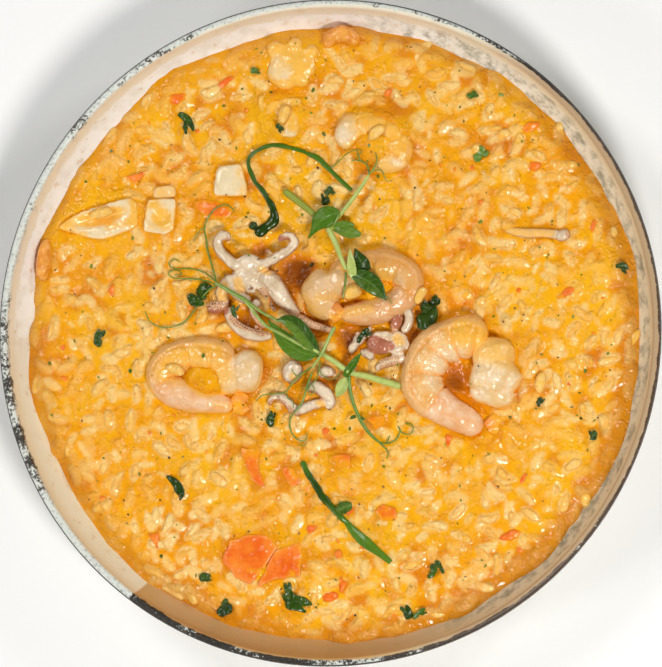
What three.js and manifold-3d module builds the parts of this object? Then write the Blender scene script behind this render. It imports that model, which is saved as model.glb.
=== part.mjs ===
// Seafood risotto, served in a low stoneware bowl.
//
// The bowl is one turned solid with a foot ring. The risotto fills it to a gently crowned, uneven level
// and is one solid that stands in for the rice and its sauce. Prawns, squid, mussels and tomato lie half
// sunk in it, and two pea shoots and two wilted stems lie across the top. Every piece keeps a small gap to
// its neighbours.
//
// Units are millimetres and +Z is up. The origin is the centre of the foot ring, on the table.

import * as THREE from "three";
import { mergeVertices } from "three/addons/utils/BufferGeometryUtils.js";
import Module from "manifold-3d";

const wasm = await Module();
wasm.setup();

// ---- Driving dimensions ----

const GAP = 0.4; // kept between pieces that touch

const RIM_RADIUS = 115; // outside of the bowl
const RIM_HEIGHT = 33; // top of the lip above the table
const LIP_RADIUS = 1.5; // the lip is a half round of this radius
const FLOOR_HEIGHT = 8; // inside floor above the table
const FLOOR_RADIUS = 84; // where the inside wall starts to rise
const FOOT_RADIUS = 66; // outside of the foot ring
const FOOT_WIDTH = 6;
const FOOT_HEIGHT = 2.5;
const WALL_CURVE = 1.6; // superellipse power of the inside wall
const BODY_CURVE = 2.0; // superellipse power of the outside wall
const TURN_STEPS = 48; // facets round the bowl and the risotto

const LEVEL = 22; // risotto level at the wall
const CROWN = 1.4; // how much higher it is in the middle
const WAVE = 0.55; // height of its uneven waves
const RICE_WALL_STEPS = 4; // facets up its side
const TOP_RINGS = 7; // facets from its middle to the wall

const LIE = 0.45; // what lies on the risotto without sinking in is this far above it

// ---- Materials ----

const finish = (color, roughness) => new THREE.MeshStandardMaterial({ color, roughness, metalness: 0 });

const glaze = finish(0xd9bf9a, 0.35);
const rice = finish(0xf0a52c, 0.3);
const prawnFlesh = finish(0xf3c492, 0.35);
const squidFlesh = finish(0xefdcc0, 0.35);
const musselFlesh = finish(0xdd8a2a, 0.35);
const tomatoFlesh = finish(0xf06a1e, 0.3);
const shootGreen = finish(0x5f9a34, 0.45);
const wiltedGreen = finish(0x24501a, 0.35);

// ---- Solids from three.js geometry ----

// A closed geometry as a manifold-3d solid, with its shared vertices merged.
function solidOf(geometry) {
  const bare = new THREE.BufferGeometry();
  bare.setAttribute("position", geometry.getAttribute("position"));
  bare.setIndex(geometry.getIndex());
  const merged = mergeVertices(bare, 1e-4);
  const vertProperties = merged.getAttribute("position").array;
  const triVerts = new Uint32Array(merged.getIndex().array);
  return new wasm.Manifold(new wasm.Mesh({ numProp: 3, vertProperties, triVerts }));
}

function geometryOf(solid) {
  const { vertProperties, triVerts } = solid.getMesh();
  const geometry = new THREE.BufferGeometry();
  geometry.setAttribute("position", new THREE.BufferAttribute(vertProperties, 3));
  geometry.setIndex(new THREE.BufferAttribute(triVerts, 1));
  geometry.computeVertexNormals();
  return geometry;
}

const joined = (geometries) => geometries.map(solidOf).reduce((whole, next) => whole.add(next));

// Moves every vertex of a geometry to where place(x, y, z) puts it.
function reshape(geometry, place) {
  const position = geometry.getAttribute("position");
  for (let i = 0; i < position.count; i++) {
    const moved = place(position.getX(i), position.getY(i), position.getZ(i));
    position.setXYZ(i, moved.x, moved.y, moved.z);
  }
  return geometry;
}

// The value at share t (0 to 1) of an evenly spaced list.
function along(values, t) {
  const at = THREE.MathUtils.clamp(t, 0, 1) * (values.length - 1);
  const before = Math.min(Math.floor(at), values.length - 2);
  return THREE.MathUtils.lerp(values[before], values[before + 1], at - before);
}

// A tube with round ends along a route of [x, y, z] points, whose radius follows the list radii.
// flat squeezes it from above, ribs is a number of shallow bulges along it, and grow makes it thicker all
// over. With `lying` the route is under the tube instead of at its centre.
function tube(route, radii, { sides = 10, steps = 14, flat = 1, ribs = 0, grow = 0, lying = false } = {}) {
  const curve = new THREE.CatmullRomCurve3(route.map((p) => new THREE.Vector3(...p)), false, "centripetal");
  const length = curve.getLength();
  const ends = [radii[0], radii[radii.length - 1]];
  const up = new THREE.Vector3(0, 0, 1);
  return reshape(new THREE.CylinderGeometry(1, 1, 1, sides, steps), (x, y, z) => {
    const share = (1 - Math.cos(Math.PI * (y + 0.5))) / 2;
    const centre = curve.getPointAt(share);
    const tangent = curve.getTangentAt(share);
    centre.addScaledVector(tangent, grow * (2 * share - 1) ** 9);
    const side = new THREE.Vector3().crossVectors(tangent, up).normalize();
    const over = new THREE.Vector3().crossVectors(side, tangent);
    const toEnd = Math.min((share * length) / ends[0], ((1 - share) * length) / ends[1], 1);
    const rounding = Math.sqrt(Math.max(0.12, 1 - (1 - toEnd) ** 2));
    const rib = 1 + 0.05 * Math.cos(2 * Math.PI * ribs * share) * (ribs > 0);
    const radius = along(radii, share) * rounding * rib + grow;
    centre.z += lying ? along(radii, share) : 0;
    const halfHeight = radius * flat + grow * (1 - flat);
    return centre.addScaledVector(side, x * radius).addScaledVector(over, z * halfHeight);
  });
}

// An uneven lump: a sphere stretched to half sizes [x, y, z], with `lobes` soft lobes round it.
function lump(halfSizes, { lobes = 3, depth = 0.12, turn = 0, grow = 0 } = {}) {
  const [a, b, c] = halfSizes;
  return reshape(new THREE.SphereGeometry(1, 12, 7), (x, y, z) => {
    const angle = Math.atan2(y, x);
    const swell = 1 + depth * Math.cos(lobes * angle + 0.7) * (1 - Math.abs(z));
    const px = x * (a * swell + grow);
    const py = y * (b * swell + grow);
    return new THREE.Vector3(
      px * Math.cos(turn) - py * Math.sin(turn),
      px * Math.sin(turn) + py * Math.cos(turn),
      z * (c + grow),
    );
  });
}

// A cut slab: a smooth outline through [x, y] corners, bent up at its ends by `bend`.
function slab(corners, thickness, { bend = 0, round = 0.5, curved = true, grow = 0 } = {}) {
  const points = corners.map(([x, y]) => new THREE.Vector2(x, y));
  const smooth = new THREE.SplineCurve([...points, points[0]]).getPoints(corners.length * 3);
  const outline = new THREE.Shape(curved ? smooth : points);
  const reach = Math.max(...points.map((p) => p.length()));
  const options = {
    depth: thickness - 2 * round,
    bevelThickness: round + grow,
    bevelSize: round + grow,
    bevelOffset: -round,
    bevelSegments: 1,
    steps: 1,
  };
  const geometry = new THREE.ExtrudeGeometry(outline, options).translate(0, 0, round - thickness / 2);
  return reshape(geometry, (x, y, z) => new THREE.Vector3(x, y, z + bend * ((x * x + y * y) / reach ** 2)));
}

// ---- The bowl ----

// Radius of a wall that leaves a floor of radius r0 at height z0 level, and reaches r1 at z1 upright.
function wallRadius(z, r0, z0, r1, z1, power) {
  const climb = 1 - THREE.MathUtils.clamp((z - z0) / (z1 - z0), 0, 1);
  return r0 + (r1 - r0) * (1 - climb ** power) ** (1 / power);
}

// Heights that are closer together near the floor, where a wall turns fastest.
function wallHeights(z0, z1, steps) {
  return Array.from({ length: steps + 1 }, (_, i) => z0 + (z1 - z0) * (i / steps) ** 1.7);
}

const lipHeight = RIM_HEIGHT - LIP_RADIUS;
const lipInside = RIM_RADIUS - 2 * LIP_RADIUS;
const outsideWall = wallHeights(FOOT_HEIGHT, lipHeight, 6)
  .map((z) => [wallRadius(z, FOOT_RADIUS, FOOT_HEIGHT, RIM_RADIUS, lipHeight, BODY_CURVE), z]);
const insideWall = wallHeights(FLOOR_HEIGHT, lipHeight, 7)
  .map((z) => [wallRadius(z, FLOOR_RADIUS, FLOOR_HEIGHT, lipInside, lipHeight, WALL_CURVE), z]);

// Radius of the inside wall at height z, on the faceted wall itself.
function insideRadius(z) {
  const above = Math.max(1, insideWall.findIndex(([, height]) => height >= z));
  const [r0, z0] = insideWall[above - 1];
  const [r1, z1] = insideWall[above];
  return THREE.MathUtils.mapLinear(z, z0, z1, r0, r1);
}

// Radius to which the risotto reaches at height z.
const riceRadius = (z) => insideRadius(z - GAP) - GAP;

function bowlGeometry() {
  const footInside = FOOT_RADIUS - FOOT_WIDTH;
  const profile = [[0, FOOT_HEIGHT], [footInside, FOOT_HEIGHT], [footInside, 0], [FOOT_RADIUS, 0]];
  profile.push(...outsideWall);
  for (const turn of [0.25, 0.5, 0.75]) {
    const angle = turn * Math.PI;
    profile.push([
      RIM_RADIUS - LIP_RADIUS + LIP_RADIUS * Math.cos(angle),
      lipHeight + LIP_RADIUS * Math.sin(angle),
    ]);
  }
  profile.push(...insideWall.toReversed(), [0, FLOOR_HEIGHT]);
  return turned(profile);
}

// A solid turned about +Z from [radius, height] points that start and end on the axis.
function turned(profile) {
  const points = profile.map(([radius, height]) => new THREE.Vector2(radius, height));
  return new THREE.LatheGeometry(points, TURN_STEPS).rotateX(Math.PI / 2);
}

// ---- The risotto ----

// Height of the risotto's surface, which is crowned in the middle and wavy all over.
function riceTop(x, y) {
  const share = Math.min(1, Math.hypot(x, y) / riceRadius(LEVEL));
  const waves = Math.sin(x / 13 + 0.8) * Math.cos(y / 15 - 0.4) + 0.6 * Math.sin((x + 1.7 * y) / 21 + 1.1);
  return LEVEL + CROWN * (1 - share * share) + WAVE * waves;
}

// The profile is turned first, then each ring is moved to the wall or the wavy surface at its own angle.
function risottoGeometry() {
  const floor = FLOOR_HEIGHT + GAP;
  const profile = [[0, floor]];
  for (const z of wallHeights(floor, LEVEL, RICE_WALL_STEPS)) profile.push([riceRadius(z), z]);
  const edge = riceRadius(LEVEL);
  for (let ring = TOP_RINGS - 1; ring >= 0; ring--) profile.push([(edge * ring) / TOP_RINGS, LEVEL]);
  return reshape(turned(profile), (x, y, z) => {
    const radius = Math.hypot(x, y);
    if (radius === 0) return new THREE.Vector3(x, y, z > floor + 1 ? riceTop(0, 0) : z);
    const wallTop = riceTop((x / radius) * edge, (y / radius) * edge);
    const wallEdge = riceRadius(wallTop);
    if (z > LEVEL - 0.01) {
      const spread = wallEdge / edge;
      return new THREE.Vector3(x * spread, y * spread, riceTop(x * spread, y * spread));
    }
    const height = floor + ((z - floor) * (wallTop - floor)) / (LEVEL - floor);
    const spread = riceRadius(height) / radius;
    return new THREE.Vector3(x * spread, y * spread, height);
  });
}

// ---- Toppings ----
// Each is drawn about its own origin and placed at [x, y]. With `lift` it is sunk into the risotto, its
// origin that far above the surface. With `lies` it follows the surface and lies on top.

const PRAWN = { sides: 9, steps: 12, flat: 0.92, ribs: 5 };
const ARM = { sides: 6, steps: 8, lying: true };

// A curled prawn tail: its thick end and its thin end are two tubes, so that one may lie on the other.
function prawn(thickEnd, thickRadii, thinEnd, thinRadii) {
  return (grow) => [
    tube(thickEnd, thickRadii, { ...PRAWN, grow }),
    tube(thinEnd, thinRadii, { ...PRAWN, steps: 9, ribs: 3, grow }),
  ];
}

// A single slab or lump.
const cut = (corners, thickness, options) => (grow) => [slab(corners, thickness, { ...options, grow })];
const chunk = (halfSizes, options) => (grow) => [lump(halfSizes, { ...options, grow })];

// Squid arms: a list of [route, radii]. Their heights are measured from the risotto up to the underside.
const arms = (list) => (grow) => list.map(([route, radii]) => tube(route, radii, { ...ARM, grow }));

const toppings = [
  {
    name: "prawn_right",
    at: [43.4, -15.6],
    lift: 2.6,
    material: prawnFlesh,
    parts: prawn(
      [
        [12.6, -4.5, 0.4], [11.6, 5.5, 0.6], [7, 12.8, 0.3],
        [-1.6, 15.4, 0], [-10.3, 10.7, 0], [-13.1, 2, 0],
      ],
      [7.6, 8.4, 8.0, 7.5, 7.4, 7.2],
      [[-12.6, 5, 0], [-12.6, -1.5, 0], [-8.4, -8, 0], [0.5, -13.6, 0.2], [7.9, -17, 0.2]],
      [6.8, 7.0, 6.7, 6.2, 5.6],
    ),
  },
  {
    name: "prawn_middle",
    at: [10, 14.6],
    lift: 2.6,
    material: prawnFlesh,
    parts: prawn(
      [[-15.2, -0.7, 0.6], [-8.8, 3.5, 0.4], [-0.1, 6.6, 0], [9.4, 6.4, 0], [14, 2.4, 0]],
      [8.0, 7.6, 5.8, 5.4, 5.0],
      [
        [11.5, 5.4, 0], [14, 1.6, 0], [11.6, -2.6, 0.2],
        [4.5, -6.2, 0.6], [-4.6, -7.8, 1.6], [-9.3, -6.6, 2.4],
      ],
      [4.6, 5.0, 5.0, 5.2, 4.4, 3.0],
    ),
  },
  {
    name: "prawn_left",
    at: [-47.7, -15.6],
    lift: 2.2,
    material: prawnFlesh,
    parts: prawn(
      [[15.2, 4.4, 0.8], [7.9, 6.2, 0.4], [-0.9, 8.1, 0], [-9.6, 6.8, 0], [-13.4, 2.4, 0]],
      [7.4, 6.6, 5.6, 5.4, 5.0],
      [
        [-11.4, 5, 0], [-13.2, 1.4, 0], [-9.4, -2.6, 0],
        [-0.9, -5.6, 0.2], [7.9, -7.6, 0.4], [13.2, -8.2, 0.6],
      ],
      [4.8, 5.0, 5.2, 5.2, 4.8, 3.6],
    ),
  },
  {
    name: "prawn_back",
    at: [14.1, 65.9],
    lift: 1.0,
    material: prawnFlesh,
    parts: prawn(
      [[-8.6, 4, 0.4], [-1.6, 6.8, 0.2], [5.7, 5, 0], [9.2, -0.2, 0]],
      [5.8, 5.4, 5.0, 4.6],
      [[7.6, 3.6, 0], [9.2, -0.4, 0], [6.8, -5.6, 0], [0.2, -6.6, 0.2]],
      [4.4, 4.6, 4.8, 4.4],
    ),
  },
  {
    name: "squid_head",
    at: [-28.4, 17.6],
    lies: true,
    material: squidFlesh,
    parts: arms([
      [[[-9.5, 5.6, 0.4], [-2, 8.4, 0.6], [4.6, 6, 0.4]], [2.4, 4.0, 3.2]],
      [
        [[-5, 7, 1.6], [-11, 8.8, 1.2], [-13, 13.4, 1], [-11.4, 17.2, 1.4], [-8.6, 16.8, 1.4]],
        [2.4, 2.0, 1.8, 1.7, 1.3],
      ],
      [
        [
          [-1, 7, 1.6], [5.2, 9.2, 1.4], [11.4, 12.2, 1.4],
          [14.4, 15, 1.6], [12, 17.4, 1.8], [8.4, 16, 1.6],
        ],
        [2.4, 2.0, 1.9, 1.7, 1.5, 1.2],
      ],
      [[[1.2, 6.8, 0.4], [8, 0.2, 0], [10.8, -5.4, 0], [13.6, -11.6, 0]], [3.4, 3.5, 2.4, 1.6]],
      [[[12, -9, 0.1], [15.6, -13.4, 0], [21, -16.2, 0], [27, -17, 0]], [1.7, 1.5, 1.3, 1.0]],
      [[[-6.6, 6.4, 0.6], [-11, 0.6, 0.2], [-11.6, -5.2, 0], [-13.8, -9.2, 0]], [2.6, 2.4, 2.4, 1.7]],
      [
        [[-4, 6.4, 0.6], [-8, -4, 0], [-7.8, -12, 0], [-3.6, -16, 0], [1.6, -17.2, 0], [5.8, -17, 0]],
        [2.2, 1.7, 1.7, 1.8, 1.6, 1.1],
      ],
      [[[-0.6, 6.4, 0.6], [1.6, -4.4, 0], [-0.4, -9.6, 0], [3, -14, 0]], [2.4, 1.7, 1.4, 1.0]],
    ]),
  },
  {
    name: "squid_arms_front",
    at: [-7.2, -20.6],
    lies: true,
    material: squidFlesh,
    parts: arms([
      [[[-6, 11.6, 0], [-7.2, 5.4, 0], [-5, 0.8, 0]], [2.8, 3.4, 2.2]],
      [
        [[-6.6, 2.6, 0.2], [-0.8, 2.8, 0.4], [4, 0.8, 0.4], [5.8, -2, 0.2], [3, -4.4, 0]],
        [2.0, 2.2, 2.2, 2.0, 1.8],
      ],
      [
        [[-15.4, -3, 0], [-13.4, -0.8, 0.2], [-10.8, -1.8, 0.2], [-7.6, -4.6, 0], [-3.6, -6, 0]],
        [1.2, 1.5, 1.7, 1.8, 1.8],
      ],
      [[[-5.4, -5.2, 0], [0, -4.8, 0], [4, -4.2, 0]], [2.6, 2.4, 1.8]],
    ]),
  },
  {
    name: "squid_arms_right",
    at: [18.1, -2.5],
    lies: true,
    material: squidFlesh,
    parts: arms([
      [
        [[1.6, 7.4, 0], [6, 8.6, 0.2], [8.8, 6.6, 0.4], [7.8, 3.6, 0.4], [3.4, 0.8, 0.2]],
        [1.5, 1.8, 1.8, 1.8, 1.7],
      ],
      [[[5, 1.6, 0], [-0.4, -0.8, 0], [-4.6, -1.6, 0], [-9, 0.4, 0]], [2.4, 3.4, 2.8, 1.4]],
      [[[3.2, -0.2, 0.2], [2.4, -4.8, 0.2], [-0.6, -6.8, 0.2], [-4.4, -9.4, 0]], [2.2, 1.9, 1.8, 1.3]],
    ]),
  },
  {
    name: "squid_slab",
    at: [-81, 41.2],
    lift: 0.2,
    material: squidFlesh,
    parts: cut([[-15.5, -3.4], [-8, 1.6], [10.2, 7], [13.2, 4.8], [13.6, -3.6], [1, -8], [-6, -6.8]], 4.6),
  },
  {
    name: "squid_square",
    at: [-59.8, 41.3],
    lift: 0.4,
    material: squidFlesh,
    parts: cut([[-6.2, -5.4], [-4.4, 5.8], [5.8, 6.2], [4.8, -5], [1.8, -6.6]], 4.4, {
      bend: 1.2,
      curved: false,
    }),
  },
  {
    name: "squid_cube",
    at: [-35, 53.3],
    lift: 0.6,
    material: squidFlesh,
    parts: cut([[-6.4, -5.4], [-5.2, 5], [3.8, 6], [6.2, -5.6]], 5.2, { curved: false, round: 0.8 }),
  },
  {
    name: "seafood_lobed",
    at: [-13.8, 93.1],
    lift: 0.5,
    material: squidFlesh,
    parts: chunk([9.8, 8.4, 4.2], { lobes: 5, depth: 0.13, turn: 0.5 }),
  },
  {
    name: "seafood_wedge",
    at: [-17.3, 75.4],
    lift: 0.3,
    material: squidFlesh,
    parts: cut([[-8.6, 8], [0, 6.6], [8.4, 6.4], [6, -8], [-2.4, -6.8], [-7.6, 0]], 5, {
      bend: 0.8,
      round: 0.8,
    }),
  },
  {
    name: "squid_ring_strip",
    at: [70.5, 33.7],
    lies: true,
    material: squidFlesh,
    parts: arms([
      [[[-10.4, 1.6, 0], [-4, 0.4, 0.3], [3.6, 0.2, 0.3], [9.6, -0.8, 0]], [1.4, 1.8, 1.7, 1.8]],
    ]),
  },
  {
    name: "mussel_left",
    at: [-100.7, 26.7],
    lift: 1.5,
    material: musselFlesh,
    parts: chunk([2.9, 7.4, 3], { lobes: 2, depth: 0.08, turn: -0.12 }),
  },
  {
    name: "mussel_back",
    at: [3.4, 101.6],
    lift: 1.2,
    material: musselFlesh,
    parts: (grow) => [
      tube(
        [[-6, -2.4, 0], [-3, 1.2, 0.4], [1.6, 1.8, 0.4], [5.8, -1.6, 0]],
        [1.8, 2.8, 2.9, 2.0],
        { sides: 8, steps: 8, grow },
      ),
    ],
  },
  {
    name: "tomato_petal_large",
    at: [-30.4, -77],
    lift: 0.3,
    material: tomatoFlesh,
    parts: cut([[-9.4, 4], [0.6, 6.8], [7.4, 5], [2, -8], [-7.8, -4.8]], 2.2, { bend: 0.5, curved: false }),
  },
  {
    name: "tomato_petal_small",
    at: [-17.9, -79.6],
    lift: 0.3,
    material: tomatoFlesh,
    parts: cut([[-3.2, 2.4], [5.2, 5.8], [4.4, -4.6], [-8, -8]], 2.2, { bend: 0.6, curved: false }),
  },
  {
    name: "tomato_soft",
    at: [-41, 43.2],
    lift: 0,
    material: tomatoFlesh,
    parts: chunk([8.6, 4.6, 1.6], { lobes: 3, depth: 0.1, turn: -0.35 }),
  },
  {
    name: "tomato_sliver",
    at: [-27.6, -46.2],
    lift: 0.3,
    material: tomatoFlesh,
    parts: cut([[-4.6, 7], [3.4, 6.6], [1.8, 1.8], [4.6, -7.2], [0.2, -4.4]], 1.9, { curved: false }),
  },
  {
    name: "tomato_dice_front",
    at: [-14.7, -49],
    lift: 0.2,
    material: tomatoFlesh,
    parts: cut([[-4, 3.6], [3.2, 3], [3.6, -2], [0.8, -4.2]], 2.6, { curved: false }),
  },
  {
    name: "tomato_dice_centre",
    at: [3.4, -44.4],
    lift: 0.2,
    material: tomatoFlesh,
    parts: cut([[-3.4, 2.6], [2.6, 3], [3.6, -2.4], [-2.6, -3]], 2.8, { curved: false }),
  },
  {
    name: "tomato_dice_right",
    at: [18.7, -62.3],
    lift: 0.2,
    material: tomatoFlesh,
    parts: cut([[-4.4, 1.2], [-1, 3.6], [3.6, 2], [4, -2.6], [-1, -3]], 2.8, { curved: false }),
  },
  {
    name: "tomato_under_shoot",
    at: [16.7, -30.7],
    lift: 0.1,
    material: tomatoFlesh,
    parts: cut([[-5.4, 1.6], [1.6, 2.8], [5.2, 0.6], [2.6, -3], [-2, -2.6]], 2.4, { curved: false }),
  },
  {
    name: "wilted_stem_back",
    at: [-13.2, 52.8],
    lies: true,
    material: wiltedGreen,
    parts: (grow) => [
      tube(
        [
          [19, -2, 0], [10.5, 6.3, 0], [2.9, 11.2, 0], [-6.9, 14.2, 0],
          [-12.5, 12.1, 0], [-17.9, 8.2, 0], [-16.3, 3.5, 0], [-12.5, -2.4, 0],
          [-8, -9.2, 0], [-10.6, -14.6, 0], [-15.2, -17.2, 0], [-19.4, -19, 0],
        ],
        [0.6, 0.7, 0.8, 0.8, 0.7, 0.7, 0.7, 0.8, 0.9, 1.2, 1.5, 0.9],
        { sides: 5, steps: 22, lying: true, grow },
      ),
    ],
  },
  {
    name: "wilted_stem_front",
    at: [4, -60.9],
    lies: true,
    material: wiltedGreen,
    parts: (grow) => [
      tube(
        [[-14.4, 17, 0], [-9, 7.8, 0], [-6.4, 4, 0], [1.2, -4.2, 0], [8.7, -11, 0], [15.4, -16.2, 0]],
        [0.9, 1.1, 1.2, 1.0, 1.3, 0.8],
        { sides: 5, steps: 9, lying: true, grow },
      ),
    ],
  },
];

// ---- Pea shoots ----
// Each is a stem with leaves that lies over everything else. Its heights are above the risotto's level.

// A thin oval leaf from its base at [x, y, z] towards `heading`, rising by `rise` at its tip.
function leaf([x, y, z], heading, length, width, rise) {
  const outline = new THREE.Shape();
  outline.absellipse(length / 2, 0, length / 2, width / 2, 0, Math.PI * 2);
  const blade = new THREE.ExtrudeGeometry(outline, { depth: 0.5, bevelEnabled: false, curveSegments: 4 });
  reshape(blade, (u, v, w) => new THREE.Vector3(u, v, w + (rise * u) / length + 0.06 * v * v));
  return blade.rotateZ(THREE.MathUtils.degToRad(heading)).translate(x, y, z);
}

const stem = (route, radii, steps) => tube(route, radii, { sides: 5, steps });

const shoots = [
  {
    name: "pea_shoot_front",
    at: [-9.6, -0.7, LEVEL],
    parts: () => [
      stem(
        [
          [31.6, -15.6, 3.8], [24.1, -14.1, 4.4], [15.8, -12, 5.8],
          [10.3, -9.2, 7.6], [4.7, -5.7, 8.6], [-3.6, -1.5, 9.2],
          [-12, 5.3, 10], [-21.6, 13, 9.8], [-31.2, 19.9, 8.6],
        ],
        [1.1, 1.1, 1.0, 1.0, 0.9, 0.8, 0.7, 0.6, 0.5],
        14,
      ),
      leaf([4.8, -5.2, 8.6], 142, 19, 9.5, 2.6),
      leaf([4.2, -6.6, 8.4], 163, 18, 8.5, 0.8),
      leaf([15.6, -12, 5.6], 60, 8, 2.6, 1.5),
      leaf([15.6, -12.4, 5.4], 236, 9, 4.4, -0.4),
      stem(
        [[15.8, -12.2, 5.6], [16.6, -19, 5.2], [18.8, -26.8, 3.6], [23.4, -33.2, 3], [28.2, -36.8, 2.8]],
        [0.8, 0.8, 0.7, 0.6, 0.5],
        9,
      ),
    ],
  },
  {
    name: "pea_shoot_back",
    at: [-2.1, 37.9, LEVEL],
    parts: () => [
      stem(
        [
          [-12.4, 9.7, 3], [-4.9, 4.1, 4.6], [0, 0, 5.6],
          [2.8, -5.6, 8.2], [5.5, -11.1, 11.4], [8.4, -15.2, 12.2],
        ],
        [1.1, 1.1, 1.0, 0.9, 0.8, 0.7],
        12,
      ),
      stem([[0, 0, 5.6], [4.1, 4.5, 5.6], [8.9, 10.4, 4.8], [14, 17.9, 4.6]], [0.8, 0.8, 0.7, 0.5], 8),
      leaf([-0.4, 0, 5.8], 128, 10, 8.5, 1.6),
      leaf([0.4, 0.4, 5.6], -8, 9, 6, 0.6),
      leaf([8, -10, 11.6], 262, 10, 3.8, 0.4),
      leaf([7.8, -12, 11.8], 318, 15, 8, 0.3),
      leaf([7.6, -11, 11.8], 12, 8, 7, 0.8),
    ],
  },
];

// ---- Putting it together ----

const dish = new THREE.Group();

function place(name, solid, material, x, y, z) {
  const mesh = new THREE.Mesh(geometryOf(solid), material);
  mesh.name = name;
  mesh.position.set(x, y, z);
  dish.add(mesh);
}

place("bowl", solidOf(bowlGeometry()), glaze, 0, 0, 0);

// A topping's solid, as it stands at `spot`.
function toppingSolid({ lies, parts }, spot, grow) {
  const [x0, y0, z0] = spot;
  const follow = (x, y, z) => new THREE.Vector3(x, y, z + riceTop(x + x0, y + y0) + LIE - z0);
  return joined(parts(grow).map((geometry) => (lies ? reshape(geometry, follow) : geometry)));
}

// Each topping is cut back by the ones before it, and the risotto by those that are sunk in it.
let risotto = solidOf(risottoGeometry());
let reserved = wasm.Manifold.union([]);
for (const topping of toppings) {
  const spot = [...topping.at, riceTop(...topping.at) + (topping.lift ?? LIE)];
  const back = spot.map((value) => -value);
  const shape = toppingSolid(topping, spot, 0).subtract(reserved.translate(back));
  place(topping.name, shape, topping.material, ...spot);
  const room = toppingSolid(topping, spot, GAP).translate(spot);
  reserved = reserved.add(room);
  if (!topping.lies) risotto = risotto.subtract(room);
}
place("risotto", risotto, rice, 0, 0, 0);

for (const { name, at, parts } of shoots) {
  const clear = joined(parts()).subtract(reserved.translate(at.map((value) => -value)));
  place(name, clear, shootGreen, ...at);
}

export default dish;
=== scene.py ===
"""Seafood risotto in a low stoneware bowl: the looks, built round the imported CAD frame.

The sauce is one relief surface that climbs round every grain. The rice is loose grains, half sunk in it.
The seafood, the tomato and the greens replace their plain CAD solids and stand in the same places. Shapes
are worked out in millimetres and become metres only when a mesh is made.
"""
import math

import bpy
import numpy as np
from mathutils import Matrix, Vector


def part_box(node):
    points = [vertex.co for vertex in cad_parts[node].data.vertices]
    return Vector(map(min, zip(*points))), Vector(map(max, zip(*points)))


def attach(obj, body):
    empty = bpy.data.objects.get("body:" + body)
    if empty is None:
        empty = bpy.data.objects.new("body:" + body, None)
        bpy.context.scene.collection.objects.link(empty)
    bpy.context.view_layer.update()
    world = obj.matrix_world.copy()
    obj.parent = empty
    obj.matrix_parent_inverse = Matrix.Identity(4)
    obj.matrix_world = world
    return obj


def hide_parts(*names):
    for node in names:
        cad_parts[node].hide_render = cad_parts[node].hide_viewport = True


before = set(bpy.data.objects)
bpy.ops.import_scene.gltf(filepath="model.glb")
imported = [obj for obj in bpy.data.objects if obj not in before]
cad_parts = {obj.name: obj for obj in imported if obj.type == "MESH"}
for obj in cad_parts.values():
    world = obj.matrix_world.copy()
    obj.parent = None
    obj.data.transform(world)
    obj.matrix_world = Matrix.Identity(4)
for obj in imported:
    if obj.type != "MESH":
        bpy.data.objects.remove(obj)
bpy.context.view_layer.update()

MM = 0.001
RIM_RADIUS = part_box("bowl")[1][0] / MM
RIM_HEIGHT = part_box("bowl")[1][2] / MM

# The bowl, as the CAD turns it.
LIP_RADIUS = 1.5
FLOOR_HEIGHT = 8.0
FLOOR_RADIUS = 84.0
FOOT_RADIUS = 66.0
FOOT_WIDTH = 6.0
FOOT_HEIGHT = 2.5
WALL_CURVE = 1.6
BODY_CURVE = 2.0

# The risotto's surface, as the CAD shapes it.
LEVEL = 22.0
CROWN = 1.4
WAVE = 0.55
RICE_RADIUS = 107.0

GRID_STEP = 0.66  # spacing of the sauce surface's points


# ---------------------------------------------------------------- numbers

def smoothstep(low, high, value):
    """0 at `low`, 1 at `high` and smooth between."""
    share = np.clip((value - low) / (high - low), 0.0, 1.0)
    return share * share * (3.0 - 2.0 * share)


def bell(value, width):
    """1 where the value is 0, falling to 0 on both sides."""
    return np.exp(-(value / width) ** 2)


def ripples(x, y, size, seed, waves=14):
    """Smooth random waves of about the given size, mostly between -1 and 1."""
    random = np.random.default_rng(seed)
    total = np.zeros(np.shape(x))
    for _ in range(waves):
        angle = random.uniform(0.0, 2.0 * math.pi)
        length = size * random.uniform(0.7, 1.6)
        phase = random.uniform(0.0, 2.0 * math.pi)
        total += np.sin((x * math.cos(angle) + y * math.sin(angle)) * 2.0 * math.pi / length + phase)
    return total / math.sqrt(waves)


def rice_level(x, y):
    """Height of the risotto without its grains, as in the CAD."""
    share = np.minimum(1.0, np.hypot(x, y) / RICE_RADIUS)
    waves = np.sin(x / 13 + 0.8) * np.cos(y / 15 - 0.4) + 0.6 * np.sin((x + 1.7 * y) / 21 + 1.1)
    return LEVEL + CROWN * (1.0 - share * share) + WAVE * waves


def spot(node, dx=0.0, dy=0.0):
    """The middle of a CAD node's box, moved by dx and dy, in millimetres."""
    low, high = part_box(node)
    return np.array([(low[0] + high[0]) / 2 / MM + dx, (low[1] + high[1]) / 2 / MM + dy])


def on_level(body, node, offset, lift, heading=0.0):
    """A body drawn about (0, 0), on the risotto's level in the middle of a CAD node."""
    x, y = spot(node, *offset)
    return body.moved(x, y, float(rice_level(x, y)) + lift, heading)


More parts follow.
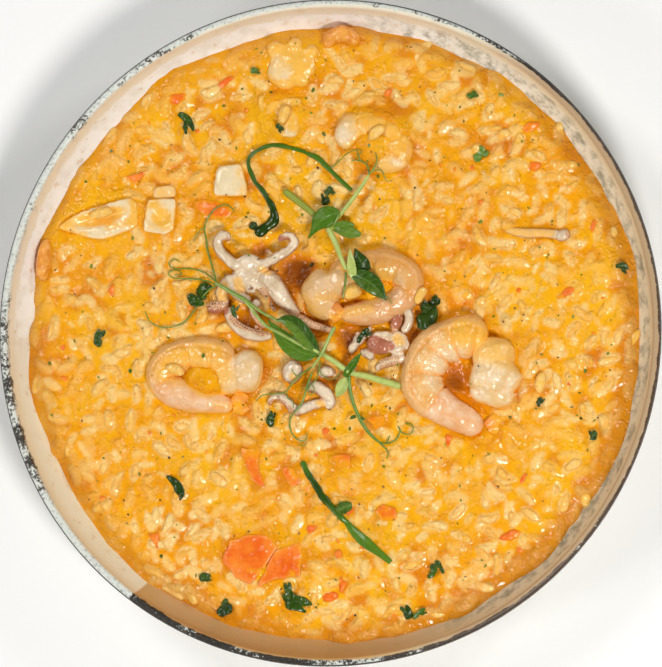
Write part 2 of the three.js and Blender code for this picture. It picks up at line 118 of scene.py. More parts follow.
def smooth_route(points, count):
    """Evenly spaced points on a smooth curve through `points`, and its length."""
    points = np.asarray(points, dtype=float)
    padded = np.vstack([2 * points[0] - points[1], points, 2 * points[-1] - points[-2]])
    t = np.linspace(0.0, 1.0, 20, endpoint=False)[:, None]
    stretches = []
    for a, b, c, d in zip(padded, padded[1:], padded[2:], padded[3:]):
        cubic = (3 * b - a - 3 * c + d) * t ** 3
        stretches.append(0.5 * (2 * b + (c - a) * t + (2 * a - 5 * b + 4 * c - d) * t ** 2 + cubic))
    fine = np.vstack(stretches + [points[-1:]])
    travelled = np.concatenate([[0.0], np.cumsum(np.linalg.norm(np.diff(fine, axis=0), axis=1))])
    at = np.linspace(0.0, travelled[-1], count)
    return np.stack([np.interp(at, travelled, column) for column in fine.T], axis=1), travelled[-1]


def evenly(values, share):
    """The evenly spaced values at each share from 0 to 1, joined smoothly."""
    curve, _ = smooth_route([(index, value) for index, value in enumerate(values)], 200)
    return np.interp(np.asarray(share) * (len(values) - 1), curve[:, 0], curve[:, 1])


def nearness(points, route, reach, fade):
    """1 within `reach` of the route, 0 beyond `reach` + `fade`, for each point."""
    path, _ = smooth_route(route, 40)
    points = np.asarray(points)[:, :path.shape[1]]
    nearest = np.full(len(points), np.inf)
    for step in path:
        nearest = np.minimum(nearest, ((points - step) ** 2).sum(axis=1))
    return smoothstep(reach + fade, reach, np.sqrt(nearest))


def in_disc(random, reach):
    """A random place in a disc: its radius and angle, and its x and y."""
    radius = reach * math.sqrt(random.uniform())
    angle = random.uniform(0.0, 2.0 * math.pi)
    return radius, angle, radius * math.cos(angle), radius * math.sin(angle)


# ---------------------------------------------------------------- bodies

class Body:
    """A closed mesh in millimetres, with named values for each of its vertices."""

    def __init__(self, vertices, quads, tris=(), **values):
        self.vertices = np.asarray(vertices, dtype=float)
        self.quads = np.asarray(quads, dtype=int).reshape(-1, 4)
        self.tris = np.asarray(tris, dtype=int).reshape(-1, 3)
        self.values = values

    def reshaped(self, vertices):
        """The same faces and values on other points."""
        return Body(vertices, self.quads, self.tris, **self.values)

    def moved(self, x, y, z=0.0, heading=0.0):
        """Turned about +Z by `heading` radians, then moved."""
        c, s = math.cos(heading), math.sin(heading)
        turn = np.array([[c, -s, 0.0], [s, c, 0.0], [0.0, 0.0, 1.0]])
        return self.reshaped(self.vertices @ turn.T + (x, y, z))

    def plain(self):
        """The same body without its values."""
        return Body(self.vertices, self.quads, self.tris)

    def with_values(self, **values):
        filled = {key: np.broadcast_to(value, len(self.vertices)) for key, value in values.items()}
        return Body(self.vertices, self.quads, self.tris, **{**self.values, **filled})

    def steepness(self, flat, steep):
        """0 where the body faces up by more than `flat`, 1 where by less than `steep`."""
        return smoothstep(flat, steep, normals_of(self)[:, 2])


def joined(bodies):
    starts = np.cumsum([0] + [len(body.vertices) for body in bodies])
    keys = sorted({key for body in bodies for key in body.values})
    values = {}
    for key in keys:
        blanks = [body.values.get(key, np.zeros(len(body.vertices))) for body in bodies]
        values[key] = np.concatenate(blanks)
    return Body(
        np.concatenate([body.vertices for body in bodies]),
        np.concatenate([body.quads + start for body, start in zip(bodies, starts)]),
        np.concatenate([body.tris + start for body, start in zip(bodies, starts)]),
        **values,
    )


def facing_out(vertices, quads, tris):
    """The faces of a closed body, turned round if they face in."""
    corners = np.vstack([quads[:, [0, 1, 2]], quads[:, [0, 2, 3]], tris])
    a, b, c = (vertices[corners[:, i]] - vertices[0] for i in range(3))
    if (a * np.cross(b, c)).sum() < 0.0:
        return quads[:, ::-1], tris[:, ::-1]
    return quads, tris


def loft(rings, **values):
    """A closed body through rings of points, shut at each end by a fan. Values are per ring point."""
    count, around = rings.shape[:2]
    number = np.arange(count * around).reshape(count, around)
    after = np.roll(number, -1, axis=1)
    quads = np.stack([number[:-1], after[:-1], after[1:], number[1:]], axis=-1)
    first, last = count * around, count * around + 1
    start = np.stack([np.full(around, first), after[0], number[0]], axis=-1)
    end = np.stack([np.full(around, last), number[-1], after[-1]], axis=-1)
    vertices = np.vstack([rings.reshape(-1, 3), rings[0].mean(axis=0), rings[-1].mean(axis=0)])
    spread = {}
    for key, value in values.items():
        value = np.broadcast_to(value, (count, around))
        spread[key] = np.concatenate([value.ravel(), [value[0].mean(), value[-1].mean()]])
    quads, tris = facing_out(vertices, quads.reshape(-1, 4), np.vstack([start, end]))
    return Body(vertices, quads, tris, **spread)


def frames(path):
    """The direction of a path at each point, and the directions to its right and above it."""
    tangent = np.gradient(path, axis=0)
    tangent /= np.linalg.norm(tangent, axis=1)[:, None]
    side = np.cross(tangent, (0.0, 0.0, 1.0))
    side /= np.maximum(np.linalg.norm(side, axis=1), 1e-6)[:, None]
    return tangent, side, np.cross(side, tangent)


def tube(route, radii, around=16, rings=40, flat=1.0, swell=None):
    """A tube with round ends. Its values are `along`, 0 to 1, and `turn`, 0 to its right and 0.25 above.

    swell(along, turn) multiplies the radius.
    """
    path, length = smooth_route(route, 300)
    line = np.linspace(0.0, 1.0, rings)
    share = 0.35 * line + 0.65 * (1.0 - np.cos(math.pi * line)) / 2.0
    centre = np.stack([np.interp(share, np.linspace(0.0, 1.0, 300), column) for column in path.T], axis=1)
    _, side, over = frames(path)
    pick = np.clip((share * 299).round().astype(int), 0, 299)
    radius = evenly(radii, share)
    to_end = np.minimum(share * length / radii[0], (1.0 - share) * length / radii[-1])
    radius = radius * np.sqrt(np.clip(1.0 - (1.0 - np.minimum(to_end, 1.0)) ** 2, 0.0004, 1.0))
    turn = np.arange(around) / around
    along = np.broadcast_to(share[:, None], (rings, around))
    turns = np.broadcast_to(turn, (rings, around))
    reach = radius[:, None] * (np.ones_like(turns) if swell is None else swell(along, turns))
    right = (reach * np.cos(2 * math.pi * turns))[..., None] * side[pick][:, None]
    above = (reach * flat * np.sin(2 * math.pi * turns))[..., None] * over[pick][:, None]
    return loft(centre[:, None] + right + above, along=along, turn=turns)


def lump(half_sizes, around=28, rings=18, power=2.0, uneven=0.04, seed=0):
    """An oval body, slightly uneven, with its poles at its two ends along x."""
    a, b, c = half_sizes
    t = -np.cos(math.pi * (np.arange(rings) + 0.5) / rings)
    radius = (1.0 - np.abs(t) ** power) ** (1.0 / power)
    turn = 2.0 * math.pi * np.arange(around) / around
    x = np.broadcast_to(t[:, None], (rings, around))
    y = radius[:, None] * np.cos(turn)
    z = radius[:, None] * np.sin(turn)
    scale = 1.0 + uneven * ripples(x * 1.7 + z, y * 1.7 - z * 0.6, 1.6, seed + 300)
    return loft(np.stack([x * a * scale, y * b * scale, z * c * scale], axis=-1))


def outline_of(corners, passes, count, cut):
    """A closed outline with its corners cut off `passes` times by a share `cut`, evenly spaced."""
    points = np.asarray(corners, dtype=float)
    for _ in range(passes):
        step = cut * (np.roll(points, -1, axis=0) - points)
        points = np.stack([points + step, np.roll(points, -1, axis=0) - step], axis=1).reshape(-1, 2)
        cut = max(cut, 0.2)
    ring = np.vstack([points, points[:1]])
    travelled = np.concatenate([[0.0], np.cumsum(np.linalg.norm(np.diff(ring, axis=0), axis=1))])
    at = np.linspace(0.0, travelled[-1], count, endpoint=False)
    return np.stack([np.interp(at, travelled, column) for column in ring.T], axis=1)


def slab(corners, thickness, relief=None, passes=2, square=5.0, around=64, rings=11, uneven=0.05, seed=0,
         ragged=0.0, cut=0.2):
    """A cut piece with an outline through `corners`, rounded edges and an uneven top.

    relief(x, y, share) is added to its height, and `share` is 0 in the middle and 1 at the edge.
    """
    outline = outline_of(corners, passes, around, cut)
    size = np.hypot(outline[:, 0], outline[:, 1]).max()
    waves = ripples(outline[:, 0], outline[:, 1], 0.7 * size, seed + 40)
    waves = waves + 0.6 * ripples(outline[:, 0], outline[:, 1], 0.3 * size, seed + 41)
    outline = outline * (1.0 + ragged * waves)[:, None]
    share = 1.0 - (1.0 - np.linspace(0.0, 1.0, rings)[1:]) ** 2
    half = thickness / 2.0 * (1.0 - share ** square) ** (1.0 / square)
    share = np.concatenate([share, share[-2::-1]])[:, None]
    x = share * outline[:, 0]
    y = share * outline[:, 1]
    z = np.broadcast_to(np.concatenate([half, -half[-2::-1]])[:, None], x.shape).copy()
    z += thickness * uneven * ripples(x, y, thickness * 1.8, seed + 500) * (z > -0.1)
    if relief is not None:
        z += relief(x, y, share)
    return loft(np.stack([x, y, z], axis=-1)[::-1], edge=np.broadcast_to(share, x.shape)[::-1])


def blade(route, half_widths, fold=0.2, wave=0.0, waves=3.0, thickness=0.35, rings=36, across=9):
    """A thin leaf along a route, with the values `along`, 0 to 1, and `across`, -1 to 1."""
    path, _ = smooth_route(route, rings)
    _, side, over = frames(path)
    share = np.linspace(0.0, 1.0, rings)
    half = np.maximum(evenly(half_widths, share), 0.04)[:, None]
    share = share[:, None]
    v = np.linspace(-1.0, 1.0, across)
    loop = np.concatenate([v, v[::-1]])
    face = np.concatenate([np.ones(across), -np.ones(across)])
    thick = thickness / 2.0 * face * (1.0 - 0.6 * np.abs(loop) ** 3)
    ruffle = wave * half * np.abs(loop) * np.sin(2 * math.pi * waves * share + 1.6 * np.sign(loop))
    rise = fold * half * np.abs(loop) + ruffle + thick
    points = path[:, None] + (half * loop)[..., None] * side[:, None] + rise[..., None] * over[:, None]
    along, across = (np.broadcast_to(value, rise.shape) for value in (share, loop))
    return loft(points[:, ::-1], along=along[:, ::-1], across=across[:, ::-1])


def placed(name, data):
    """A new object in the scene."""
    thing = bpy.data.objects.new(name, data)
    bpy.context.scene.collection.objects.link(thing)
    return thing


def mesh_of(name, body):
    """The body as a mesh in metres."""
    mesh = bpy.data.meshes.new(name)
    mesh.from_pydata((body.vertices * MM).tolist(), [], body.quads.tolist() + body.tris.tolist())
    return mesh


def fused(bodies, voxel, softening):
    """Overlapping bodies as one skin, with its creases softened."""
    mesh = mesh_of("fusing", joined(bodies))
    thing = placed("fusing", mesh)
    remesh = thing.modifiers.new("fuse", "REMESH")
    remesh.mode = "VOXEL"
    remesh.voxel_size = voxel * MM
    smooth = thing.modifiers.new("soften", "SMOOTH")
    smooth.factor = 0.5
    smooth.iterations = softening
    done = thing.evaluated_get(bpy.context.evaluated_depsgraph_get()).to_mesh()
    vertices = np.empty(len(done.vertices) * 3, dtype=np.float32)
    done.vertices.foreach_get("co", vertices)
    corners = np.empty(len(done.loops), dtype=np.int32)
    done.loops.foreach_get("vertex_index", corners)
    bpy.data.objects.remove(thing)
    bpy.data.meshes.remove(mesh)
    return Body(vertices.reshape(-1, 3) / MM, corners.reshape(-1, 4))


def normals_of(body):
    corners = np.vstack([body.quads[:, [0, 1, 2]], body.quads[:, [0, 2, 3]], body.tris])
    a, b, c = (body.vertices[corners[:, i]] for i in range(3))
    face = np.cross(b - a, c - a)
    normals = np.zeros_like(body.vertices)
    for i in range(3):
        np.add.at(normals, corners[:, i], face)
    return normals / np.maximum(np.linalg.norm(normals, axis=1), 1e-9)[:, None]


def swollen(body, amount):
    """Each point of the body pushed outwards by `amount`, which may differ from point to point."""
    return body.reshaped(body.vertices + normals_of(body) * np.reshape(amount, (-1, 1)))


def wrinkled(body, depth, size, seed):
    """The body with soft irregular wrinkles of about the given size, and finer ones on them."""
    x, y, z = body.vertices.T
    waves = ripples(x + 0.8 * z, y - 0.5 * z, size, seed)
    waves = waves + 0.4 * ripples(x - 0.6 * z, y + 0.9 * z, size * 0.42, seed + 1)
    return swollen(body, depth * waves)


def new_piece(name, bodies, material, replaced=()):
    """A piece from one or more bodies, riding on the dish's one body."""
    whole = joined(bodies if isinstance(bodies, (list, tuple)) else [bodies])
    mesh = mesh_of(name, whole)
    for key, numbers in whole.values.items():
        layer = mesh.attributes.new(key, "FLOAT", "POINT")
        layer.data.foreach_set("value", np.asarray(numbers, dtype=np.float32).ravel())
    mesh.polygons.foreach_set("use_smooth", [True] * len(mesh.polygons))
    mesh.materials.append(material)
    mesh.update()
    piece = placed(name, mesh)
    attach(piece, "root")
    if replaced:
        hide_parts(*replaced)


# ---------------------------------------------------------------- shader nodes

def srgb(red, green, blue):
    """A display colour from 0 to 255 as the linear colour that shaders take."""
    def linear(value):
        value = value / 255.0
        return value / 12.92 if value <= 0.04045 else ((value + 0.055) / 1.055) ** 2.4
    return (linear(red), linear(green), linear(blue), 1.0)


# The sockets of a Mix node that carry colours.
MIX_A = 6
MIX_B = 7
MIX_RESULT = 2


class Field:
    """What shader nodes work out at each point. Fields add up and multiply like numbers."""

    def __init__(self, shader, socket):
        self.shader = shader
        self.socket = socket

    def __add__(self, other):
        return self.shader.math("ADD", self, other)

    def __sub__(self, other):
        return self.shader.math("SUBTRACT", self, other)

    def __rsub__(self, other):
        return self.shader.math("SUBTRACT", other, self)

    def __mul__(self, other):
        return self.shader.math("MULTIPLY", self, other)

    def __truediv__(self, other):
        return self.shader.math("DIVIDE", self, other)

    def __pow__(self, other):
        return self.shader.math("POWER", self, other)


class Shader:
    """A material with one Principled shader, and short ways to add the nodes that feed it."""

    def __init__(self, name, **settings):
        self.material = bpy.data.materials.new(name)
        self.material.use_nodes = True
        self.tree = self.material.node_tree
        self.principled = self.tree.nodes["Principled BSDF"]
        self.place = self.node("ShaderNodeTexCoord", "Object", {})
        for socket, value in settings.items():
            self.feed(self.principled.inputs[socket.replace("_", " ")], value)

    def feed(self, socket, value):
        if isinstance(value, Field):
            self.tree.links.new(value.socket, socket)
        else:
            socket.default_value = value

    def node(self, kind, output, inputs, **settings):
        """A new node with its inputs fed, as the field of one of its outputs."""
        node = self.tree.nodes.new(kind)
        for key, value in settings.items():
            setattr(node, key, value)
        for key, value in inputs.items():
            self.feed(node.inputs[key], value)
        return Field(self, node.outputs[output])

    def soften(self, weight, reach):
        """Light that travels `reach` millimetres under the surface."""
        self.principled.subsurface_method = "BURLEY"
        self.feed(self.principled.inputs["Subsurface Weight"], weight)
        self.feed(self.principled.inputs["Subsurface Radius"], (1.0, 0.9, 0.75))
        self.feed(self.principled.inputs["Subsurface Scale"], reach * MM)

    def value(self, name):
        """The mesh's own value of that name."""
        return self.node("ShaderNodeAttribute", "Fac", {}, attribute_name=name)

    def axis(self, name):
        """The place in metres along X, Y or Z."""
        return self.node("ShaderNodeSeparateXYZ", name, {"Vector": self.place})

    def math(self, operation, first, second=0.0):
        return self.node("ShaderNodeMath", "Value", {0: first, 1: second}, operation=operation)

    def noise(self, size, detail=2.0, roughness=0.5, distortion=0.0):
        """Noise from 0 to 1 whose features measure about `size` millimetres."""
        inputs = {"Vector": self.place, "Scale": 1.0 / (size * MM), "Detail": detail}
        inputs.update({"Roughness": roughness, "Distortion": distortion})
        return self.node("ShaderNodeTexNoise", "Fac", inputs)

    def cells(self, size):
        """Distance to the nearest of scattered points about `size` millimetres apart."""
        inputs = {"Vector": self.place, "Scale": 1.0 / (size * MM)}
        return self.node("ShaderNodeTexVoronoi", "Distance", inputs)

    def ramp(self, value, low, high):
        """0 at `low`, 1 at `high` and smooth between."""
        inputs = {"Value": value, "From Min": low, "From Max": high}
        return self.node("ShaderNodeMapRange", "Result", inputs, interpolation_type="SMOOTHSTEP")

    def mix(self, share, first, second):
        """The first colour where the share is 0, the second where it is 1."""
        return self.node("ShaderNodeMix", MIX_RESULT, {0: share, MIX_A: first, MIX_B: second},
                         data_type="RGBA")

    def bump(self, height, depth, below=None):
        """Bumps `depth` millimetres high, on top of those `below`."""
        inputs = {"Distance": depth * MM, "Height": height}
        if below is not None:
            inputs["Normal"] = below
        return self.node("ShaderNodeBump", "Normal", inputs)

    def coat(self, share, colour):
        """Lays a colour over the one so far, wholly where the share is 1."""
        self.colour = self.mix(share, self.colour, colour)

    def finish(self, **inputs):
        for socket, value in {"Base Color": self.colour, **inputs}.items():
            self.feed(self.principled.inputs[socket], value)
        return self.material


# ---------------------------------------------------------------- bowl

def wall_radius(height, low_radius, low, high_radius, high, power):
    climb = 1.0 - np.clip((height - low) / (high - low), 0.0, 1.0)
    return low_radius + (high_radius - low_radius) * (1.0 - climb ** power) ** (1.0 / power)


def inside_radius(height):
    inner_lip = RIM_RADIUS - 2 * LIP_RADIUS
    return wall_radius(height, FLOOR_RADIUS, FLOOR_HEIGHT, inner_lip, RIM_HEIGHT - LIP_RADIUS, WALL_CURVE)


def bowl_profile():
    """(radius, height) points from the underside's middle, over the lip, to the floor's middle."""
    lip_height = RIM_HEIGHT - LIP_RADIUS
    foot_inside = FOOT_RADIUS - FOOT_WIDTH
    points = [(1.0, FOOT_HEIGHT), (30.0, FOOT_HEIGHT), (foot_inside - 1.5, FOOT_HEIGHT)]
    points += [(foot_inside - 0.2, FOOT_HEIGHT - 0.4), (foot_inside + 0.3, 0.4), (foot_inside + 1.0, 0.0)]
    points += [(FOOT_RADIUS - 1.0, 0.0), (FOOT_RADIUS - 0.2, 0.4), (FOOT_RADIUS, 1.2)]
    for share in np.linspace(0.0, 1.0, 26):
        height = FOOT_HEIGHT + (lip_height - FOOT_HEIGHT) * share ** 1.7
        radius = wall_radius(height, FOOT_RADIUS, FOOT_HEIGHT, RIM_RADIUS, lip_height, BODY_CURVE)
        points.append((radius, height))
    for turn in np.linspace(0.0, math.pi, 10)[1:-1]:
        radius = RIM_RADIUS - LIP_RADIUS + LIP_RADIUS * math.cos(turn)
        points.append((radius, lip_height + LIP_RADIUS * math.sin(turn)))
    for share in np.linspace(1.0, 0.0, 30):
        height = FLOOR_HEIGHT + (lip_height - FLOOR_HEIGHT) * share ** 1.7
        points.append((inside_radius(height), height))
    return points + [(40.0, FLOOR_HEIGHT), (1.0, FLOOR_HEIGHT)]


def turned(profile, steps):
    """A closed body turned about +Z from (radius, height) points. `outside` is 1 up to the widest."""
    angles = np.arange(steps) * 2.0 * math.pi / steps
    radius, height = np.array(profile).T
    across = radius[:, None, None] * np.stack([np.cos(angles), np.sin(angles)], axis=-1)
    up = np.broadcast_to(height[:, None, None], (len(profile), steps, 1))
    outside = (np.arange(len(profile)) <= radius.argmax()).astype(float)
    return loft(np.concatenate([across, up], axis=-1), outside=outside[:, None])


# Where charcoal lies on the lip: from and to an angle, how its ends fade, and how much more there is.
LIP_PATCHES = [
    (-60, 40, 30, 25, 0.17), (-127, -98, 0.5, 10, 0.14), (-180, -152, 1, 4, 0.02),
    (-150, -128, 3, 0.5, -0.08), (-98, -60, 8, 8, 0.05), (80, 176, 12, 4, -0.06),
]
TAN = srgb(236, 222, 178)
TAN_PALE = srgb(228, 214, 182)


class Glaze(Shader):
    """Beige inside, a speckled charcoal lip over pale grey-green, and a milky band above the food."""

    def __init__(self):
        super().__init__("stoneware_glaze", Roughness=0.3)
        self.x, self.y, self.z = (self.axis(name) for name in "XYZ")
        self.radius = self.math("SQRT", self.x ** 2.0 + self.y ** 2.0)
        self.angle = self.math("ARCTAN2", self.y, self.x)
        self.broad = self.noise(26.0)
        self.mottle = self.noise(6.0, detail=4.0, roughness=0.6)
        self.fine = self.noise(1.1, detail=4.0, roughness=0.7)

    def towards(self, degrees):
        """1 on the side of the bowl at that angle, -1 on the opposite side."""
        angle = math.radians(degrees)
        return (self.x * math.cos(angle) + self.y * math.sin(angle)) / self.radius

    def between(self, low, high, fade_in, fade_out):
        """1 from one angle in degrees to another, counted from -180 to 180, with soft or hard ends."""
        rise = self.ramp(self.angle, math.radians(low - fade_in), math.radians(low))
        return rise * self.ramp(self.angle, math.radians(high + fade_out), math.radians(high))

    def lip_band(self):
        """1 on the speckled lip, which is widest at the front left."""
        width = self.towards(185) * (1.15 * MM) + 2.2 * MM
        edge = RIM_RADIUS * MM - (width + (self.mottle - 0.5) * (2.0 * MM))
        high = self.ramp(self.z, (RIM_HEIGHT - 5.0) * MM, (RIM_HEIGHT - 3.0) * MM)
        return self.ramp(self.radius, edge, edge + 0.35 * MM) * high

    def charcoal(self):
        """1 in the charcoal patches, densest on the right and the front, and round the lip's outer edge."""
        patches = self.noise(14.0) * 0.4 + (self.fine * 0.55 + self.mottle * 0.4)
        for low, high, fade_in, fade_out, weight in LIP_PATCHES:
            patches = self.between(low, high, fade_in, fade_out) * weight + patches
        outline = self.ramp(self.radius, (RIM_RADIUS - 0.7) * MM, (RIM_RADIUS - 0.35) * MM)
        return self.math("MAXIMUM", self.ramp(patches, 0.68, 0.76), outline)

    def lip(self, charcoal):
        grey = self.mix(self.ramp(self.fine, 0.45, 0.7), srgb(222, 225, 216), srgb(168, 172, 162))
        soot = self.mix(self.ramp(self.fine, 0.5, 0.72), srgb(40, 36, 31), srgb(96, 84, 68))
        soot = self.mix(self.ramp(self.towards(-15), 0.3, 0.9) * 0.3, soot, srgb(120, 84, 46))
        return self.mix(charcoal, grey, soot)

    def inside(self):
        """Next to the food the glaze has run milky white, and mottled grey-green on the right."""
        self.colour = self.mix(self.broad, srgb(232, 220, 194), srgb(243, 234, 216))
        self.coat(self.ramp(self.mottle, 0.5, 0.7) * 0.5, srgb(220, 203, 174))
        milky = self.mix(self.ramp(self.mottle, 0.4, 0.65), srgb(252, 251, 247), srgb(238, 234, 224))
        border = (self.mottle - 0.5) * (7.0 * MM) + (LEVEL + 4.6) * MM
        low = self.ramp(self.z, border + 0.7 * MM, border - 0.7 * MM)
        self.coat(low * (self.between(40, 170, 30, 20) * 0.65 + 0.2), milky)
        self.coat(self.between(-160, -127, 25, 5) * 0.5, TAN)
        # Painted shade: the right side of the wall, which faces away from the key light, is coated tan.
        shade = self.ramp(self.towards(-20), -0.35, 0.75)
        self.coat(shade * 0.7, self.mix(self.mottle, TAN, TAN_PALE))
        # Partly a brown stain on the glaze, partly painted shade: the wall at the front, which faces away
        # from the key light, is coated brown.
        self.coat(self.between(-127, -90, 0.5, 40) * 0.8, srgb(194, 140, 58))
        streak = self.ramp(self.noise(4.0, detail=4.0, roughness=0.6), 0.38, 0.7) * low
        # Darker grey-green streaks low on the wall, next to the food, on the right.
        grey_green = streak * self.between(-62, 70, 14, 24)
        self.coat(grey_green * 0.85, srgb(140, 138, 116))
        rust = self.ramp(self.radius, 111.4 * MM, 112.6 * MM) * self.between(-62, 48, 20, 20)
        self.coat(rust * 0.8, srgb(168, 128, 84))
        smear = self.ramp(self.noise(3.0, detail=3.0), 0.62, 0.7) * low
        self.coat(smear * 0.35, srgb(214, 160, 80))
        return self.colour

    def outside(self):
        speckle = self.ramp(self.cells(2.6), 0.16, 0.1) * self.ramp(self.mottle, 0.42, 0.52)
        self.colour = self.mix(self.broad * 0.6, srgb(212, 206, 188), srgb(190, 190, 174))
        self.coat(speckle, srgb(92, 84, 70))
        return self.colour

    def finished(self):
        band, charcoal = self.lip_band(), self.charcoal()
        self.colour = self.mix(self.value("outside"), self.inside(), self.outside())
        raw_clay = self.ramp(self.z, 0.9 * MM, 0.5 * MM)
        self.coat(raw_clay, srgb(186, 150, 112))
        self.coat(band, self.lip(charcoal))
        normal = self.bump(charcoal * band, 0.12, below=self.bump(self.mottle, 0.15))
        return self.finish(Roughness=self.mottle * 0.25 + 0.28, Normal=normal)


def make_bowl():
    body = turned(bowl_profile(), steps=288)
    new_piece("bowl_glazed", body, Glaze().finished(), ["bowl"])


# ---------------------------------------------------------------- where the toppings lie

# Rough plans of the large toppings: a route through each, from the middle of its node, and a half width.
PLANS = [
    ("prawn_right", (-0.7, -1), [(13, 1), (9, 12), (-3, 11), (-11, 4), (-9, -6), (0, -12), (9, -18)], 7.6),
    ("prawn_middle", (-0.5, -0.3), [(-13, -2), (-3, 5), (9, 7), (15, 1), (7, -6), (-6, -8)], 6.6),
    ("prawn_left", (1, -0.9), [(19, 5), (17, 0), (8, 6), (-1, 7), (-10, 4), (-4, -4), (10, -8)], 5.6),
    ("prawn_back", (-2.2, -0.7), [(-8, 3), (-1, 6), (7, 3), (7, -5)], 5.2),
    ("squid_head", (-6.3, -0.1), [(-10, 12), (-3, 4), (5, 2), (12, -5)], 3.6),
    ("squid_head", (-6.3, -0.1), [(-9, -1), (-8, -8), (-5, -14), (4, -18)], 2.4),
    ("squid_arms_front", (4.6, -2.3), [(-5, 9), (-6, 3), (4, 0), (3, -4), (-8, -5)], 2.8),
    ("squid_arms_right", (-0.6, 0), [(6, 9), (7, 4), (4, -4), (-2, -2), (-9, 0)], 3),
    ("squid_slab", (0.5, 0.5), [(-11, -3), (-2, 0), (8, 2)], 5.4),
    ("squid_square", (0.2, 0.2), [(-2, 0), (2, 0)], 5),
    ("squid_cube", (0.1, -0.2), [(-2, 0), (2, 0)], 4.8),
    ("seafood_lobed", (0, -0.4), [(-4, 0), (4, 0)], 6.4),
    ("seafood_wedge", (0, 0.5), [(-2, 2), (2, -2)], 6),
    ("squid_ring_strip", (0.4, -0.3), [(-9, 1), (9, 0)], 1.6),
    ("mussel_left", (0, 0), [(0, -5), (0, 5)], 2.2),
    ("mussel_back", (0.2, -1), [(-4, 0), (4, 0)], 2.2),
    ("tomato_petal_large", (3.6, 1.6), [(-4, 0), (3, 1)], 7.2),
    ("tomato_petal_small", (2.6, 2.6), [(-3, -3), (3, 2)], 5),
    ("tomato_soft", (-0.2, -0.3), [(-4, 1), (4, -1)], 3.8),
    ("tomato_sliver", (0, 0.1), [(-1, 6), (2, -5)], 2.6),
    ("tomato_dice_front", (0.2, 0.3), [(-1, 0), (1, 0)], 2.8),
    ("tomato_dice_centre", (-0.1, 0), [(-1, 0), (1, 0)], 2.6),
    ("tomato_dice_right", (0.2, -0.3), [(-1, 0), (1, 0)], 2.8),
    ("tomato_under_shoot", (0.1, 0.1), [(-2, 1), (2, 0)], 2.4),
]

# Hollows where the sauce is deep and dark, its darkness partly painted shade: x, y, reach, depth. They lie
# between the toppings.
PITS = [
    (43.6, -16, 7.4, 1.1), (-12, 21.6, 9.5, 2), (-17.5, 12, 6, 1.4), (29, -1, 7.4, 1.4),
    (-29, 5, 8.5, 1.2), (-6, 2.5, 9, 1.6), (6, -11, 7, 1.2), (5.5, -2.5, 7.5, 1.5), (-2, -15.5, 5, 1),
    (-25, 29, 5, 1), (21, 4.5, 3.2, 1), (50, -34, 3, 0.8), (-1, -37.5, 4.2, 0.9), (64, -1, 4, 0.6),
]

# Sauce heaped inside the curl of the prawns and round the pieces it covers: x, y, reach, height.
FILLS = [
    (-44.5, -15.6, 8.5, 5), (17.5, 14.2, 8, 4.2), (16.5, 68, 14.5, 3.5), (-13.8, 94, 12.5, 2.2),
    (-18.8, 76.8, 12, 2), (-82.5, 40.9, 15, 0.9), (-60.2, 41.6, 8, 0.6),
]

# Smooth pools of sauce without grains: x, y, reach.
POOLS = [
    (62, 88, 6), (-24, -58, 5), (2, -77, 7), (82, 48, 7), (-56, 6, 6),
    (-88, -8, 5), (38, 62, 7), (-62, 62, 4), (58, -58, 4.5), (16, 92, 6),
    (17, -76, 8), (-47.6, -69.8, 6.5), (37, -73, 5.5), (72, 12, 6), (-20, -90, 5),
]


# ---------------------------------------------------------------- rice and sauce

# The two darkest sauce colours stand for deeper sauce and for painted shade.
SAUCE_DARK = srgb(156, 80, 6)
SAUCE_DEEP_AND_SHADED = srgb(224, 130, 1)
SAUCE = srgb(243, 160, 2)
SAUCE_PALE = srgb(248, 178, 12)
SAUCE_FILM = srgb(250, 182, 24)
GRAIN = srgb(246, 209, 133)
GRAIN_COATED = srgb(246, 184, 62)

# The column of a grain's row that says how bare it is, and above what it shows as a grain of its own.
BARENESS = 7
SHOWS_ABOVE = 0.36

# How many grains lie at most under the sauce, and how many come through it.
SUNK_GRAINS = 1500
SHOWN_GRAINS = 900

# Heights of the rings of the risotto's skirt, from under its surface to the bowl's floor.
SKIRT_HEIGHTS = (18.5, 14.5, 11.0, 9.0, FLOOR_HEIGHT - 0.4)


def rim_of(quads):
    """The corners along the open edge of a sheet of faces, one after the other."""
    edges = np.concatenate([quads[:, [i, (i + 1) % 4]] for i in range(4)])
    known = set(map(tuple, edges.tolist()))
    following = {a: b for a, b in known if (b, a) not in known}
    rim = [next(iter(following))]
    while following[rim[-1]] != rim[0]:
        rim.append(following[rim[-1]])
    return np.array(rim)


